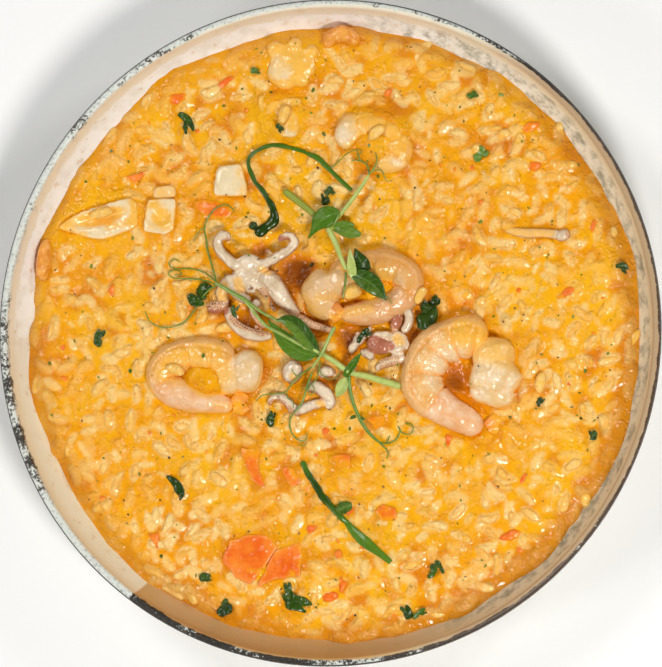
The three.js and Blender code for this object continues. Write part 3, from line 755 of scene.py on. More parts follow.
class Surface:
    """The sauce as heights on a square grid, with how near rice lies beneath and how dark it is painted,
    for deep sauce and painted shade.
    """

    def __init__(self):
        self.reach = RICE_RADIUS + 2.5
        self.count = int(2 * self.reach / GRID_STEP) + 1
        self.line = np.linspace(-self.reach, self.reach, self.count)
        self.step = self.line[1] - self.line[0]
        self.x, self.y = np.meshgrid(self.line, self.line, indexing="ij")
        self.radius = np.hypot(self.x, self.y)
        self.height = rice_level(self.x, self.y)
        self.away = self.distances()

    def distances(self):
        """How far each point lies outside the nearest topping's plan."""
        away = np.full_like(self.height, 99.0)
        for node, offset, route, half_width in PLANS:
            path, _ = smooth_route(route, 26)
            for x, y in path + spot(node, *offset):
                away = np.minimum(away, np.hypot(self.x - x, self.y - y) - half_width)
        return away

    def gap(self, x, y, reach):
        """How far each point lies from x, y, as a share of the reach."""
        return np.hypot(self.x - x, self.y - y) / reach

    def blur(self, field, size):
        waves = np.fft.fftfreq(self.count, self.step)
        weight = np.exp(-2.0 * (math.pi * size * waves) ** 2)
        return np.real(np.fft.ifft2(np.fft.fft2(field) * weight[:, None] * weight[None, :]))

    def noise(self, size, seed):
        """Random relief between about -2 and 2, with features of about the given size."""
        field = np.random.default_rng(seed).normal(size=self.height.shape)
        field = self.blur(field, size / 3.0)
        return field / field.std()

    def window(self, x, y, reach):
        """The part of the grid within `reach` of x, y."""
        return tuple(slice(*np.searchsorted(self.line, (at - reach, at + reach))) for at in (x, y))

    def lumps(self, grains):
        """How high the grains stand over the level at each point, and how bare the highest of them is."""
        field, bareness = np.zeros_like(self.height), np.zeros_like(self.height)
        for grain in grains:
            near = self.window(grain[0], grain[1], grain[3] + 0.5)
            dome = grain_dome(grain, self.x[near], self.y[near])
            higher = dome > field[near]
            field[near] = np.where(higher, dome, field[near])
            bareness[near] = np.where(higher, grain[BARENESS], bareness[near])
        return field, bareness

    def at(self, x, y, field=None):
        """Heights at any points, from the four grid points round each."""
        field = self.height if field is None else field
        i, j = (np.clip((np.asarray(at) - self.line[0]) / self.step, 0, self.count - 2) for at in (x, y))
        i0, j0 = i.astype(int), j.astype(int)
        fi, fj = i - i0, j - j0
        low = field[i0, j0] * (1 - fi) + field[i0 + 1, j0] * fi
        high = field[i0, j0 + 1] * (1 - fi) + field[i0 + 1, j0 + 1] * fi
        return low * (1 - fj) + high * fj

    def above(self, body):
        """How far each of the body's points stands above the sauce."""
        return body.vertices[:, 2] - self.at(body.vertices[:, 0], body.vertices[:, 1])

    def cover(self, body):
        """Raises the known tops to where this body's points are."""
        i, j = (((body.vertices[:, k] - self.line[0]) / self.step).round().astype(int) for k in (0, 1))
        for di in (-1, 0, 1):
            for dj in (-1, 0, 1):
                np.maximum.at(self.top, (i + di, j + dj), body.vertices[:, 2])

    def over(self, route, clearance=0.0, reach=1.2):
        """A route of (x, y) points laid over whatever is there, as (x, y, z) points."""
        count = 60
        path, length = smooth_route(route, count)
        around = [(0, 0), (reach, 0), (-reach, 0), (0, reach), (0, -reach)]
        height = np.max([self.at(path[:, 0] + dx, path[:, 1] + dy, self.top) for dx, dy in around], axis=0)
        spread = max(1, int(2.5 * count / max(length, 1.0)))
        for gather in (np.max, np.mean):
            padded = np.pad(height, spread, mode="edge")
            height = gather([padded[i:i + count] for i in range(2 * spread + 1)], axis=0)
        return np.column_stack([path, height + clearance])[::6]

    def body(self):
        """The whole risotto: the relief, and a skirt along the bowl's wall down to its floor."""
        kept = self.radius <= self.reach - 0.7
        number = np.full(kept.shape, -1)
        number[kept] = np.arange(kept.sum())
        quads = np.stack([number[:-1, :-1], number[1:, :-1], number[1:, 1:], number[:-1, 1:]], axis=-1)
        quads = quads[(quads >= 0).all(axis=-1)]
        used = np.zeros(kept.sum(), dtype=bool)
        used[quads.ravel()] = True
        quads = (np.cumsum(used) - 1)[quads]
        top = np.stack([self.x[kept], self.y[kept], self.height[kept]], axis=1)[used]

        rim = rim_of(quads)
        angle = np.arctan2(top[rim, 1], top[rim, 0])
        levels, rings, faces = [top], [rim], [quads]
        for index, height in enumerate(SKIRT_HEIGHTS):
            radius = inside_radius(height) + 0.5
            points = [radius * np.cos(angle), radius * np.sin(angle), np.full(len(rim), height)]
            levels.append(np.stack(points, axis=1))
            rings.append(len(top) + index * len(rim) + np.arange(len(rim)))
            upper, lower = rings[-2:]
            faces.append(np.stack([upper, lower, np.roll(lower, -1), np.roll(upper, -1)], axis=1))
        vertices = np.concatenate(levels + [[(0.0, 0.0, SKIRT_HEIGHTS[-1])]])
        fan = np.stack([rings[-1], np.full(len(rim), len(vertices) - 1), np.roll(rings[-1], -1)], axis=1)
        values = {"pale": self.pale, "dark": self.dark, "brown": self.brown}
        extra = len(vertices) - len(top)
        values = {key: np.pad(field[kept][used], (0, extra)) for key, field in values.items()}
        return Body(vertices, np.concatenate(faces), fan, **values)


def scatter_grains(surface, count, spacing, seed, lift_low, lift_high, clear_of):
    """Rows `spacing` apart: x, y, heading, half length and width, lift, pitch, bareness, bend, taper."""
    random = np.random.default_rng(seed)
    grains, spine = [], np.zeros((0, 2))
    samples = np.linspace(-0.75, 0.75, 3)[:, None]
    for _ in range(count * 16):
        if len(grains) >= count:
            break
        radius, angle, x, y = in_disc(random, RICE_RADIUS - 2.0)
        heading = random.uniform(0.0, math.pi)
        if radius > RICE_RADIUS - 6.0:
            heading = angle + math.pi / 2 + random.normal(0.0, 0.35)
        half_length = random.uniform(3.5, 4.8)
        half_width = random.uniform(1.55, 2.15)
        ends = (x, y) + samples * half_length * np.array([math.cos(heading), math.sin(heading)])
        if surface.at(ends[:, 0], ends[:, 1], surface.away).min() < clear_of:
            continue
        if surface.at(x, y, surface.smooth) > random.uniform(0.25, 1.0):
            continue
        if (np.abs(spine[:, None, :] - ends[None, :, :]).max(axis=2) < spacing).any():
            continue
        spine = np.vstack([spine, ends])
        lift = random.uniform(lift_low, lift_high)
        pitch = random.normal(0.0, 0.09)
        bareness = random.beta(1.2, 1.2) + 0.25 * float(surface.at(x, y, surface.patches))
        bareness -= 0.4 * smoothstep(RICE_RADIUS - 15.0, RICE_RADIUS - 4.0, radius)
        bareness = min(max(bareness, 0.0), 1.0)
        bend = random.normal(0.0, 0.22)
        taper = random.uniform(-0.22, 0.22)
        grains.append((x, y, heading, half_length, half_width, lift, pitch, bareness, bend, taper))
    return np.array(grains)


def grain_dome(grain, x, y):
    """Height of a grain's top above the risotto's level at x, y, or nothing beside the grain."""
    gx, gy, heading, half_length, half_width, lift, pitch, _, bend, taper = grain
    along = (x - gx) * math.cos(heading) + (y - gy) * math.sin(heading)
    across = (y - gy) * math.cos(heading) - (x - gx) * math.sin(heading)
    t = along / half_length
    width = half_width * (1.0 + taper * t)
    across = across - bend * half_width * (1.0 - 2.0 * t ** 2)
    inside = 1.0 - np.abs(t) ** 2.5 - (across / width) ** 2
    dome = 0.9 * width * np.sqrt(np.maximum(inside, 0.0))
    return np.where(inside > 0.0, lift + pitch * along + dome, 0.0)


def grain_bodies(grains, surface, seed):
    """Each grain, with how far it is coated and how near each of its points is to the sauce."""
    random = np.random.default_rng(seed)
    around, rings = 13, 11
    t = -np.cos(math.pi * (np.arange(rings) + 0.5) / rings)[:, None]
    radius = (1.0 - np.abs(t) ** 2.5) ** 0.5
    turn = 2.0 * math.pi * np.arange(around) / around
    bodies = []
    for x, y, heading, half_length, half_width, lift, pitch, bareness, bend, taper in grains:
        phase = random.uniform(0.0, 6.0, 3)
        dents = 0.05 * np.sin(t * 4.5 + phase[0]) * np.sin(2 * turn + phase[1])
        dents += 0.03 * np.sin(t * 9.0 + 3 * turn + phase[2])
        width = half_width * (1.0 + taper * t + dents) * radius
        along = np.broadcast_to(t * half_length, (rings, around))
        across = width * np.cos(turn) + bend * half_width * (1.0 - 2.0 * t ** 2)
        up = width * np.sin(turn) * 0.9 + pitch * along
        body = loft(np.stack([along, across, up], axis=-1))
        body = body.moved(x, y, float(surface.at(x, y, surface.settled)) + lift, heading)
        bodies.append(body.with_values(bare=bareness, wet=smoothstep(0.6, 0.0, surface.above(body))))
    return bodies


def wet_bumps(shader, crinkled, size, depth):
    """Soft bumps of that size and depth, and small dimples of depth `crinkled` that come and go."""
    crinkle = shader.noise(1.3, detail=1.0) * shader.ramp(shader.noise(4.0), 0.4, 0.6)
    return shader.bump(crinkle, crinkled, below=shader.bump(shader.noise(size, detail=1.0), depth))


def sauce_material():
    """Orange sauce, with `dark` and `brown` places, and pale where rice lies just beneath."""
    shader = Shader("sauce", Roughness=0.09, Specular_IOR_Level=0.32)
    shader.soften(weight=0.25, reach=1.2)
    small = shader.noise(3.2, detail=4.0, roughness=0.6)
    dark = shader.value("dark")
    shader.colour = shader.mix(shader.ramp(shader.noise(28.0, detail=3.0), 0.38, 0.66), SAUCE, SAUCE_PALE)
    shader.coat(shader.ramp(small, 0.4, 0.7) * 0.6, SAUCE_PALE)
    # `dark` paints deeper sauce and painted shade: hollows, pits, prawn curls, rings beside the toppings
    # and the wall's front right.
    shader.coat(shader.ramp(dark, 0.1, 0.9), SAUCE_DEEP_AND_SHADED)
    shader.coat(shader.ramp(dark, 0.8, 2.2), SAUCE_DARK)
    rice = shader.value("pale") * (small * 1.1 + 0.45)
    shader.coat(shader.math("MINIMUM", rice, 0.8), GRAIN)
    # `brown` by the wall is partly browner sauce, partly painted shade.
    shader.coat(shader.value("brown"), srgb(206, 136, 22))
    speckle = shader.ramp(shader.noise(0.9), 0.66, 0.74)
    shader.coat(speckle * 0.25, srgb(228, 110, 14))
    return shader.finish(Normal=wet_bumps(shader, crinkled=0.7, size=2.4, depth=0.5))


def rice_material():
    """Grains between bare and coated, with sauce on them in patches and round their edges."""
    shader = Shader("cooked_rice", Roughness=0.1, Specular_IOR_Level=0.38)
    shader.soften(weight=0.5, reach=1.6)
    patch = shader.noise(2.6, detail=4.0, roughness=0.6)
    bare = patch * 1.2 + (shader.value("bare") * 0.9 + -0.6)
    shader.colour = shader.mix(shader.ramp(bare, 0.05, 1.0), GRAIN_COATED, GRAIN)
    wet = (patch - 0.5) * 1.3 + shader.value("wet")
    shader.coat(shader.ramp(wet, 0.3, 1.2) * 0.7, SAUCE)
    return shader.finish(Normal=wet_bumps(shader, crinkled=0.6, size=1.7, depth=0.4))


def settle(surface):
    """Hollows between the toppings, heaps of sauce and the fall to the wall, without any grain."""
    pit, fill = np.zeros_like(surface.height), np.zeros_like(surface.height)
    for x, y, reach, depth in PITS:
        gap = surface.gap(x, y, reach)
        pit += depth * smoothstep(1.0, 0.1, gap)
        surface.smooth[gap < 0.8] = 1.0
    for x, y, reach in POOLS:
        surface.smooth[surface.gap(x, y, reach) < 1.0] = 0.85
    for x, y, reach, height in FILLS:
        gap = surface.gap(x, y, reach)
        fill = np.maximum(fill, height * smoothstep(1.15, 0.45, gap))
        surface.smooth[gap < 1.0] = 1.0
    # The risotto is thinner towards the wall, unevenly.
    falling = smoothstep(RICE_RADIUS - 6.0, RICE_RADIUS + 0.5, surface.radius)
    fall = falling * (1.8 - 0.8 * np.clip(surface.noise(15.0, 23), -1.2, 1.6))
    surface.height += 0.45 * surface.noise(16.0, 9) - pit - fall + fill
    surface.settled = surface.height.copy()
    return pit, fill


def shining_through(relief, lumps, bareness):
    """How much of these grains shows pale through the sauce over them."""
    return np.exp(-np.maximum(relief - lumps, 0.0) / 0.32) * (lumps > 0.0) * (0.25 + 0.75 * bareness)


def add_relief(surface, sunk, shown):
    """The sauce's relief over its grains. It also returns the relief of the grains that may show."""
    lumps, bareness = surface.lumps(shown)
    deep_lumps, deep_bareness = surface.lumps(sunk)
    relief = 0.72 * surface.blur(np.maximum(lumps, deep_lumps), 1.0)
    relief += 0.13 * surface.noise(3.0, 17) + 0.22 * surface.noise(6.5, 18)
    # The sauce lies over the coated grains as a film, and lower round the bare ones.
    film = 0.15 - 0.36 * bareness + 0.05 * surface.noise(5.0, 31)
    relief = np.maximum(relief, np.maximum(deep_lumps * 1.02, lumps + film * (lumps > 0.0)))
    relief = surface.blur(relief, 0.42)
    surface.height += relief
    # The sauce climbs a little at each topping.
    meniscus = np.exp(-np.maximum(surface.away, 0.0) / 2.0) * (surface.away > -2.5)
    surface.height += 1.3 * surface.blur(meniscus, 0.6)
    deep = shining_through(relief, deep_lumps, deep_bareness)
    surface.pale = surface.blur(np.maximum(deep, shining_through(relief, lumps, bareness)), 0.3)
    return relief, lumps


def tone_sauce(surface, relief, pit, fill):
    """Painted shade, partly deeper and browner sauce: dark in hollows, in the pits and prawn curls and
    beside the toppings, dark and brown by the wall, most at the front right.
    """
    # Painted shade, partly deeper sauce: darker in the hollows between grains, in the pits, in the prawns'
    # curls and in a ring beside each topping.
    hollow = surface.blur(relief, 2.6) - relief
    surface.dark = np.clip(0.95 * hollow, 0.0, 0.7) + 1.25 * pit
    beside = 0.35 * np.exp(-np.maximum(surface.away, 0.0) / 1.6) * (fill < 0.5)
    surface.dark += beside + 0.2 * smoothstep(2.5, 4.0, fill)
    surface.dark += 0.12 * surface.noise(26.0, 77) + 0.2 * surface.noise(9.0, 78)
    # Painted shade by the wall, strongest at the front right; the brown there is partly thinner, browner
    # sauce and partly painted shade.
    shaded_side = 0.5 + 0.5 * np.cos(np.arctan2(surface.y, surface.x) + math.radians(40.0))
    at_wall = smoothstep(RICE_RADIUS - 11.0, RICE_RADIUS - 1.0, surface.radius)
    surface.dark += (0.15 + 0.9 * shaded_side ** 2) * at_wall
    surface.brown = (0.45 + 0.3 * shaded_side) * at_wall


def make_risotto():
    surface = Surface()
    surface.smooth = np.clip(0.6 * surface.noise(22.0, 71) - 0.2, 0.0, 0.8)
    surface.patches = surface.noise(14.0, 72)
    pit, fill = settle(surface)
    sunk = scatter_grains(surface, SUNK_GRAINS, spacing=2.1, seed=6, lift_low=-1.9, lift_high=-0.5,
                          clear_of=0.4)
    shown = scatter_grains(surface, SHOWN_GRAINS, spacing=2.9, seed=5, lift_low=-1.0, lift_high=0.05,
                           clear_of=0.9)
    relief, lumps = add_relief(surface, sunk, shown)
    tone_sauce(surface, relief, pit, fill)
    new_piece("sauce", surface.body(), sauce_material(), ["risotto"])
    rice = rice_material()
    # Grains that are wholly coated only show as relief.
    for part, grains in enumerate(np.array_split(shown[shown[:, BARENESS] > SHOWS_ABOVE], 2)):
        bodies = grain_bodies(grains, surface, seed=40 + part)
        new_piece(f"rice_grains_{part + 1}", bodies, rice, ["risotto"])
    surface.top = np.maximum(surface.height, surface.settled + lumps)
    return surface


# ---------------------------------------------------------------- prawns

PRAWNS = [
    {
        "node": "prawn_right", "offset": (-0.7, -1), "lift": 2.1, "clockwise": False,
        "route": [
            (11, 12, 0.4), (4, 13.8, 0.3), (-4.5, 11.6, 0), (-10, 6, 0), (-11.8, -1, 0),
            (-9.2, -7, 0), (-2.6, -11.6, 0), (4.6, -15.6, 0.3), (9, -18, 0.3),
        ],
        "radii": [6.8, 7.4, 7.4, 7.4, 7.3, 6.8, 5.8, 5, 3.6],
        "joints": [0.06, 0.20, 0.335, 0.49, 0.68], "tail_from": 0.69,
        "lobes": [
            (9.2, 0.4, 1.2, 5.4, 4.2, 6, 70), (14.2, 0.6, 1.4, 7.4, 5, 6.2, 62),
            (12.4, -5.6, -0.2, 7.4, 4.4, 5, -12), (18, -0.6, 0, 4.6, 4.2, 5.2, 40),
            (13, 7.6, 0.2, 7, 6, 6.6, 0),
        ],
        "fan": [[(10, -16.5, 0.6), (14, -14.4, 0.2), (18.2, -13.8, -1.2)],
                [(11, -17.6, 0), (14.6, -17.6, -0.8), (17.8, -17.2, -2)]],
        "covered": [([(3, 15), (12, 12.5), (19, 8)], 5.6), ([(8, 8.4), (17, 6.5)], 3.4)],
    },
    {
        "node": "prawn_middle", "offset": (-0.5, -0.3), "lift": 1.8, "clockwise": True, "amber": 0.42,
        "route": [
            (-9, 1, 0.5), (-3.6, 5.7, 0.4), (3, 8, 0.2), (9.5, 8.3, 0), (15.5, 5.6, 0), (17, 0.8, 0),
            (13.4, -3.6, 0.2), (6.5, -6.6, 0.6), (-1.5, -8, 1.4), (-6.8, -8, 2.2),
        ],
        "radii": [6, 6.2, 6, 5.8, 5.4, 5, 5, 5, 4, 2.4],
        "joints": [0.12, 0.27, 0.42, 0.57], "tail_from": 0.6,
        "lobes": [
            (-13.6, 0.6, 1.2, 6.6, 6, 6, 50), (-6.4, 3.2, 1.4, 5.8, 5.2, 6, 30),
            (-12.6, -5.4, 0.2, 6, 4.2, 5, -20),
        ],
        "fan": [[(-5.6, -7.6, 3.6), (-8.6, -6.4, 4), (-10.4, -5.4, 3.4)],
                [(-6.2, -8.8, 3), (-9.2, -8.6, 3.2), (-11.2, -8.4, 2.4)]],
        "covered": [([(-20, -3), (-16, -9)], 3), ([(-14, -2.8), (-8, -2.4)], 1), ([(-2, 7), (9, 4)], 3.6),
                    ([(-9, -9), (4, -6)], 1.6)],
    },
    {
        "node": "prawn_left", "offset": (1, -0.9), "lift": 1.3, "clockwise": False, "amber": 0.1,
        "route": [
            (14, 6, 0.6), (6, 8, 0.3), (-2, 8.6, 0), (-8.5, 6.8, 0), (-11.8, 2.4, 0),
            (-10.5, -1.8, 0), (-4, -4.8, 0.1), (3.5, -6.9, 0.2), (10, -8.6, 0.4), (13.4, -9.3, 0.4),
        ],
        "radii": [5.6, 6.1, 6.2, 5.8, 5.3, 5.2, 5.6, 5.1, 3.9, 2.2],
        "joints": [0.14, 0.28, 0.42, 0.55], "tail_from": 0.55,
        "lobes": [
            (18.4, 3, 0.7, 5.2, 7.2, 5.8, -6), (11.6, 2, 0.2, 5.6, 7, 5, 0),
        ],
        "fan": [[(13, -7.6, 1.6), (16, -6.4, 1.8), (18.6, -5.8, 1)],
                [(13.4, -10, 1), (16.4, -9.8, 1), (18.8, -10, 0.2)]],
        "covered": [([(-8, 3.4), (2, 3), (9, 2)], 5.4), ([(-6, 8), (8, 9.6)], 3.4),
                    ([(9, 4), (10, -3)], 1.6), ([(8, -9), (15, -9)], 1.2)],
    },
    {
        "node": "prawn_back", "offset": (-2.2, -0.7), "lift": 0.6, "clockwise": True,
        "route": [(-7, 4, 0.4), (-1, 6.6, 0.2), (5.4, 5.4, 0), (8.8, 1, 0), (8.8, -4, 0), (5, -7, 0)],
        "radii": [5.4, 5.3, 5, 4.8, 4.7, 4.2],
        "joints": [0.2, 0.42, 0.64, 0.84], "tail_from": 0.9,
        "lobes": [(-7.4, 4.2, 0.4, 6.4, 5.2, 4.8, 60), (6.4, -6.8, 0.2, 6, 3.8, 4.4, 10)],
        "fan": [],
        "covered": [([(-2, 7), (8, 4), (9, -1)], 4.6), ([(0, 0), (3, -2)], 4)],
    },
]


def prawn_material():
    """Pale peach flesh with faint orange veins, orange lines in its joints and a thin coat of sauce."""
    shader = Shader("prawn_flesh", Roughness=0.2)
    shader.soften(weight=0.55, reach=2.8)
    fibre = shader.noise(1.5, detail=4.0, roughness=0.6)
    broad = shader.noise(5.0, detail=3.0)
    shader.colour = shader.mix(shader.ramp(broad, 0.35, 0.65), srgb(236, 170, 88), srgb(244, 198, 132))
    white = shader.mix(shader.ramp(broad, 0.3, 0.7), srgb(236, 198, 136), srgb(244, 224, 190))
    shader.coat(shader.value("pale"), white)
    shader.coat(shader.value("band"), srgb(242, 188, 122))
    rosy = shader.mix(shader.ramp(broad, 0.35, 0.65), srgb(240, 178, 122), srgb(247, 208, 168))
    shader.coat(shader.value("rosy"), rosy)
    vein = shader.math("ABSOLUTE", shader.noise(4.0, distortion=1.2) - 0.5)
    vein = shader.ramp(vein, 0.022, 0.004) * shader.ramp(broad, 0.4, 0.6)
    shader.coat(vein * 0.45, srgb(236, 150, 70))
    streaked = shader.mix(fibre, srgb(226, 108, 40), srgb(250, 170, 98))
    shader.coat(shader.value("fin"), streaked)
    shader.coat(shader.value("groove") * 0.75, srgb(234, 146, 46))
    # Painted shade: the middle prawn, and a little the left one, are made darker amber as if in shade.
    shader.coat(shader.value("amber"), srgb(208, 142, 66))
    film = (broad - 0.5) * 0.8 + shader.value("cover")
    film = (fibre - 0.5) * 0.4 + film
    shader.coat(shader.ramp(film, 0.0, 1.3) * 0.82, SAUCE_FILM)
    return shader.finish(Normal=wet_bumps(shader, crinkled=0.3, size=3.0, depth=0.4))


def prawn_tail(plan, seed):
    """The curled body of a peeled prawn, jointed on its belly side and ridged along its back."""
    _, length = smooth_route(plan["route"], 100)

    def from_back(turn):
        """Degrees round the body, 0 at its back and 180 at its belly."""
        back = 180.0 if plan["clockwise"] else 0.0
        return np.abs((turn * 360.0 - back + 180.0) % 360.0 - 180.0)

    def from_joints(along, angle):
        """How far a point is from each joint. The joints lean a little."""
        lean = 0.012 * np.cos(np.radians(angle))
        return [(along - joint - lean) * length for joint in plan["joints"]]

    def peeled(along):
        return smoothstep(plan["tail_from"] + 0.02, plan["tail_from"] - 0.04, along)

    def swell(along, turn):
        angle = from_back(turn)
        belly = smoothstep(40.0, 95.0, angle)
        scale = 1.0 + 0.03 * ripples(along * length, angle / 8.0, 9.0, seed)
        scale += 0.007 * ripples(along * length, angle / 8.0, 3.4, seed + 3)
        for gap in from_joints(along, angle):
            scale -= 0.12 * bell(gap, 0.9) * (0.12 + 0.88 * belly)
            scale += 0.045 * bell(gap - 2.4, 1.7) * belly
        ridge = 0.045 * smoothstep(58.0, 52.0, angle) - 0.03 * bell(angle - 60.0, 4.0)
        return scale + peeled(along) * ridge

    body = tube(plan["route"], plan["radii"], around=72, rings=150, flat=0.94, swell=swell)
    along, angle = body.values["along"], from_back(body.values["turn"])
    bare = peeled(along)
    belly = smoothstep(40.0, 80.0, angle)
    groove = np.max([bell(gap, 0.42) * belly for gap in from_joints(along, angle)], axis=0)
    return body.plain().with_values(
        groove=np.maximum(groove, 0.7 * bare * bell(angle - 59.0, 3.2)),
        band=bare * smoothstep(58.0, 50.0, angle),
        pale=0.7 * bare * smoothstep(85.0, 125.0, angle),
        rosy=1.0 - bare,
        cover=0.45 * body.steepness(0.7, 0.1),
    )


def seams(points, lobes):
    """1 where two neighbouring lobes meet, falling to 0 beside it."""
    depths = []
    for x, y, z, a, b, c, degrees in lobes:
        turn = math.radians(degrees)
        dx, dy, dz = (points - (x, y, z)).T
        along = (dx * math.cos(turn) + dy * math.sin(turn)) / a
        across = (dy * math.cos(turn) - dx * math.sin(turn)) / b
        depths.append(np.sqrt(along ** 2 + across ** 2 + (dz / c) ** 2))
    nearest, second = np.sort(depths, axis=0)[:2]
    return bell(second - nearest, 0.12)


def prawn_head(plan, seed):
    """The cut end of a prawn: soft lobes of flesh that part in creases."""
    lobes = []
    for index, (x, y, z, a, b, c, degrees) in enumerate(plan["lobes"]):
        lobe = lump((1.06 * a, 1.06 * b, 0.94 * c), around=32, rings=22, power=2.4, uneven=0.025,
                    seed=seed + index)
        lobes.append(lobe.moved(x, y, z, math.radians(degrees)))
    body = fused(lobes, voxel=0.42, softening=30)
    seam = seams(body.vertices, plan["lobes"])
    body = wrinkled(swollen(body, -0.06 * seam), depth=0.09, size=6.0, seed=seed + 5)
    # Sauce stays on the steep sides and in the creases.
    cover = np.maximum(0.75 * body.steepness(0.92, 0.35), 0.25 * seam)
    return body.with_values(pale=0.95 - 0.15 * seam, cover=cover)


def make_prawn(plan, material, surface, seed):
    bodies = [prawn_tail(plan, seed), prawn_head(plan, seed)]
    for route in plan["fan"]:
        fin = blade(route, [1.2, 1.9, 2.4, 1.9, 0.5], fold=-0.3, wave=0.1, waves=1.5, thickness=1.1,
                    rings=20)
        bodies.append(fin.plain().with_values(fin=1.0))
    body = joined(bodies)
    cover = body.values["cover"]
    for route, reach in plan["covered"]:
        cover = np.maximum(cover, 0.9 * nearness(body.vertices, route, reach - 3.0, 6.5))
    body = on_level(body, plan["node"], plan["offset"], plan["lift"])
    cover = np.maximum(cover, 1.1 * smoothstep(3.6, 0.2, surface.above(body)))
    surface.cover(body)
    body = body.with_values(cover=cover, amber=plan.get("amber", 0.0))
    new_piece(plan["node"] + "_flesh", body, material, [plan["node"]])


# ---------------------------------------------------------------- squid

def squid_material():
    """Creamy white flesh with brown-purple freckled skin where `skin` says, red where `red` says."""
    shader = Shader("squid_flesh", Roughness=0.18)
    shader.soften(weight=0.5, reach=2.2)
    mottle = shader.noise(4.0, detail=3.0)
    fine = shader.noise(0.8, detail=3.0)
    shader.colour = shader.mix(shader.ramp(mottle, 0.3, 0.7), srgb(210, 184, 148), srgb(236, 217, 190))
    shader.coat(shader.value("cream"), srgb(250, 230, 182))
    stain = mottle - 0.5 + shader.value("stain")
    stain = (fine - 0.5) * 0.5 + stain
    shader.coat(shader.ramp(stain, 0.0, 1.0) * 0.85, SAUCE_FILM)
    red = shader.mix(mottle, srgb(140, 66, 46), srgb(206, 136, 104))
    shader.coat(shader.value("red"), red)
    freckle = shader.ramp(shader.cells(0.75), 0.42, 0.22)
    skin = shader.ramp((fine - 0.5) * 1.2 + shader.value("skin"), 0.3, 0.9)
    freckled = shader.mix(freckle, srgb(214, 158, 112), srgb(112, 50, 36))
    shader.coat(skin * 0.8, freckled)
    # Painted shade on the steep sides and in the creases.
    shader.coat(shader.value("crease"), srgb(172, 108, 58))
    # Painted shade: dark in the hollow of each sucker and in small openings of the crown.
    shader.coat(shader.value("hole"), srgb(128, 76, 44))
    return shader.finish(Normal=wet_bumps(shader, crinkled=0.15, size=3.2, depth=0.28))


def arm(route, radii, around=20, flat=0.9):
    """A squid arm whose route gives how far its underside is above the risotto's level."""
    _, length = smooth_route(route, 60)
    return tube(route, radii, around=around, rings=max(24, int(length * 2.2)), flat=flat)


def laid(body, x0, y0):
    """A body drawn about (0, 0), whose heights follow the risotto's level where it lies."""
    vertices = body.vertices + (x0, y0, 0.0)
    vertices[:, 2] += rice_level(vertices[:, 0], vertices[:, 1]) + 0.45
    return body.reshaped(vertices)


def top_of(body, x, y):
    """The height of a body's top at x, y."""
    near = np.hypot(body.vertices[:, 0] - x, body.vertices[:, 1] - y) < 0.6
    return body.vertices[near, 2].max() if near.any() else float(rice_level(x, y))


def suckers(body, routes, x0, y0):
    """Two rows of small round suckers along each route, on top of the body."""
    bodies = []
    for route, size in routes:
        _, length = smooth_route(route, 10)
        path, _ = smooth_route(route, max(4, int(length / (2.1 * size))))
        _, side, _ = frames(np.column_stack([path, np.zeros(len(path))]))
        for (x, y), (sx, sy, _) in zip(path, side):
            for row in (-0.62, 0.62):
                px, py = x0 + x + sx * row * 1.5 * size, y0 + y + sy * row * 1.5 * size
                z = top_of(body, px, py) + 0.05
                ring = lump((size, size, size * 0.62), around=10, rings=7, uneven=0.02)
                core = lump((size * 0.42, size * 0.42, size * 0.3), around=6, rings=4, uneven=0.0)
                bodies.append(ring.moved(px, py, z).with_values(skin=0.62))
                # Each sucker's core is painted dark as the shade in its cup.
                bodies.append(core.moved(px, py, z + size * 0.5).with_values(hole=0.9))
    return bodies


def make_squid_group(name, offset, main, extra, paint, sucker_routes, material, surface):
    """Arms that run into each other as one skin, with further arms, painted fields and suckers."""
    x, y = spot(name, *offset)
    bodies = list(extra)
    if main:
        skin = fused(main, voxel=0.34, softening=4)
        bodies.insert(0, wrinkled(skin, depth=0.1, size=2.8, seed=len(main)))
    body = joined([laid(piece, x, y).plain() for piece in bodies])
    local = body.vertices - (x, y, 0.0)
    values = {}
    for key, fields in paint.items():
        values[key] = np.max([nearness(local, *field) for field in fields], axis=0)
    sunk = smoothstep(1.6, 0.0, surface.above(body))
    values["stain"] = np.maximum(0.7 * values.get("stain", 0.0), 0.8 * sunk)
    # Painted shade: the steep sides of the arms and pieces are painted brown.
    values["crease"] = 0.85 * body.steepness(0.93, 0.2)
    body = body.with_values(**values)
    surface.cover(body)
    new_piece(name + "_flesh", [body] + suckers(body, sucker_routes, x, y), material, [name])


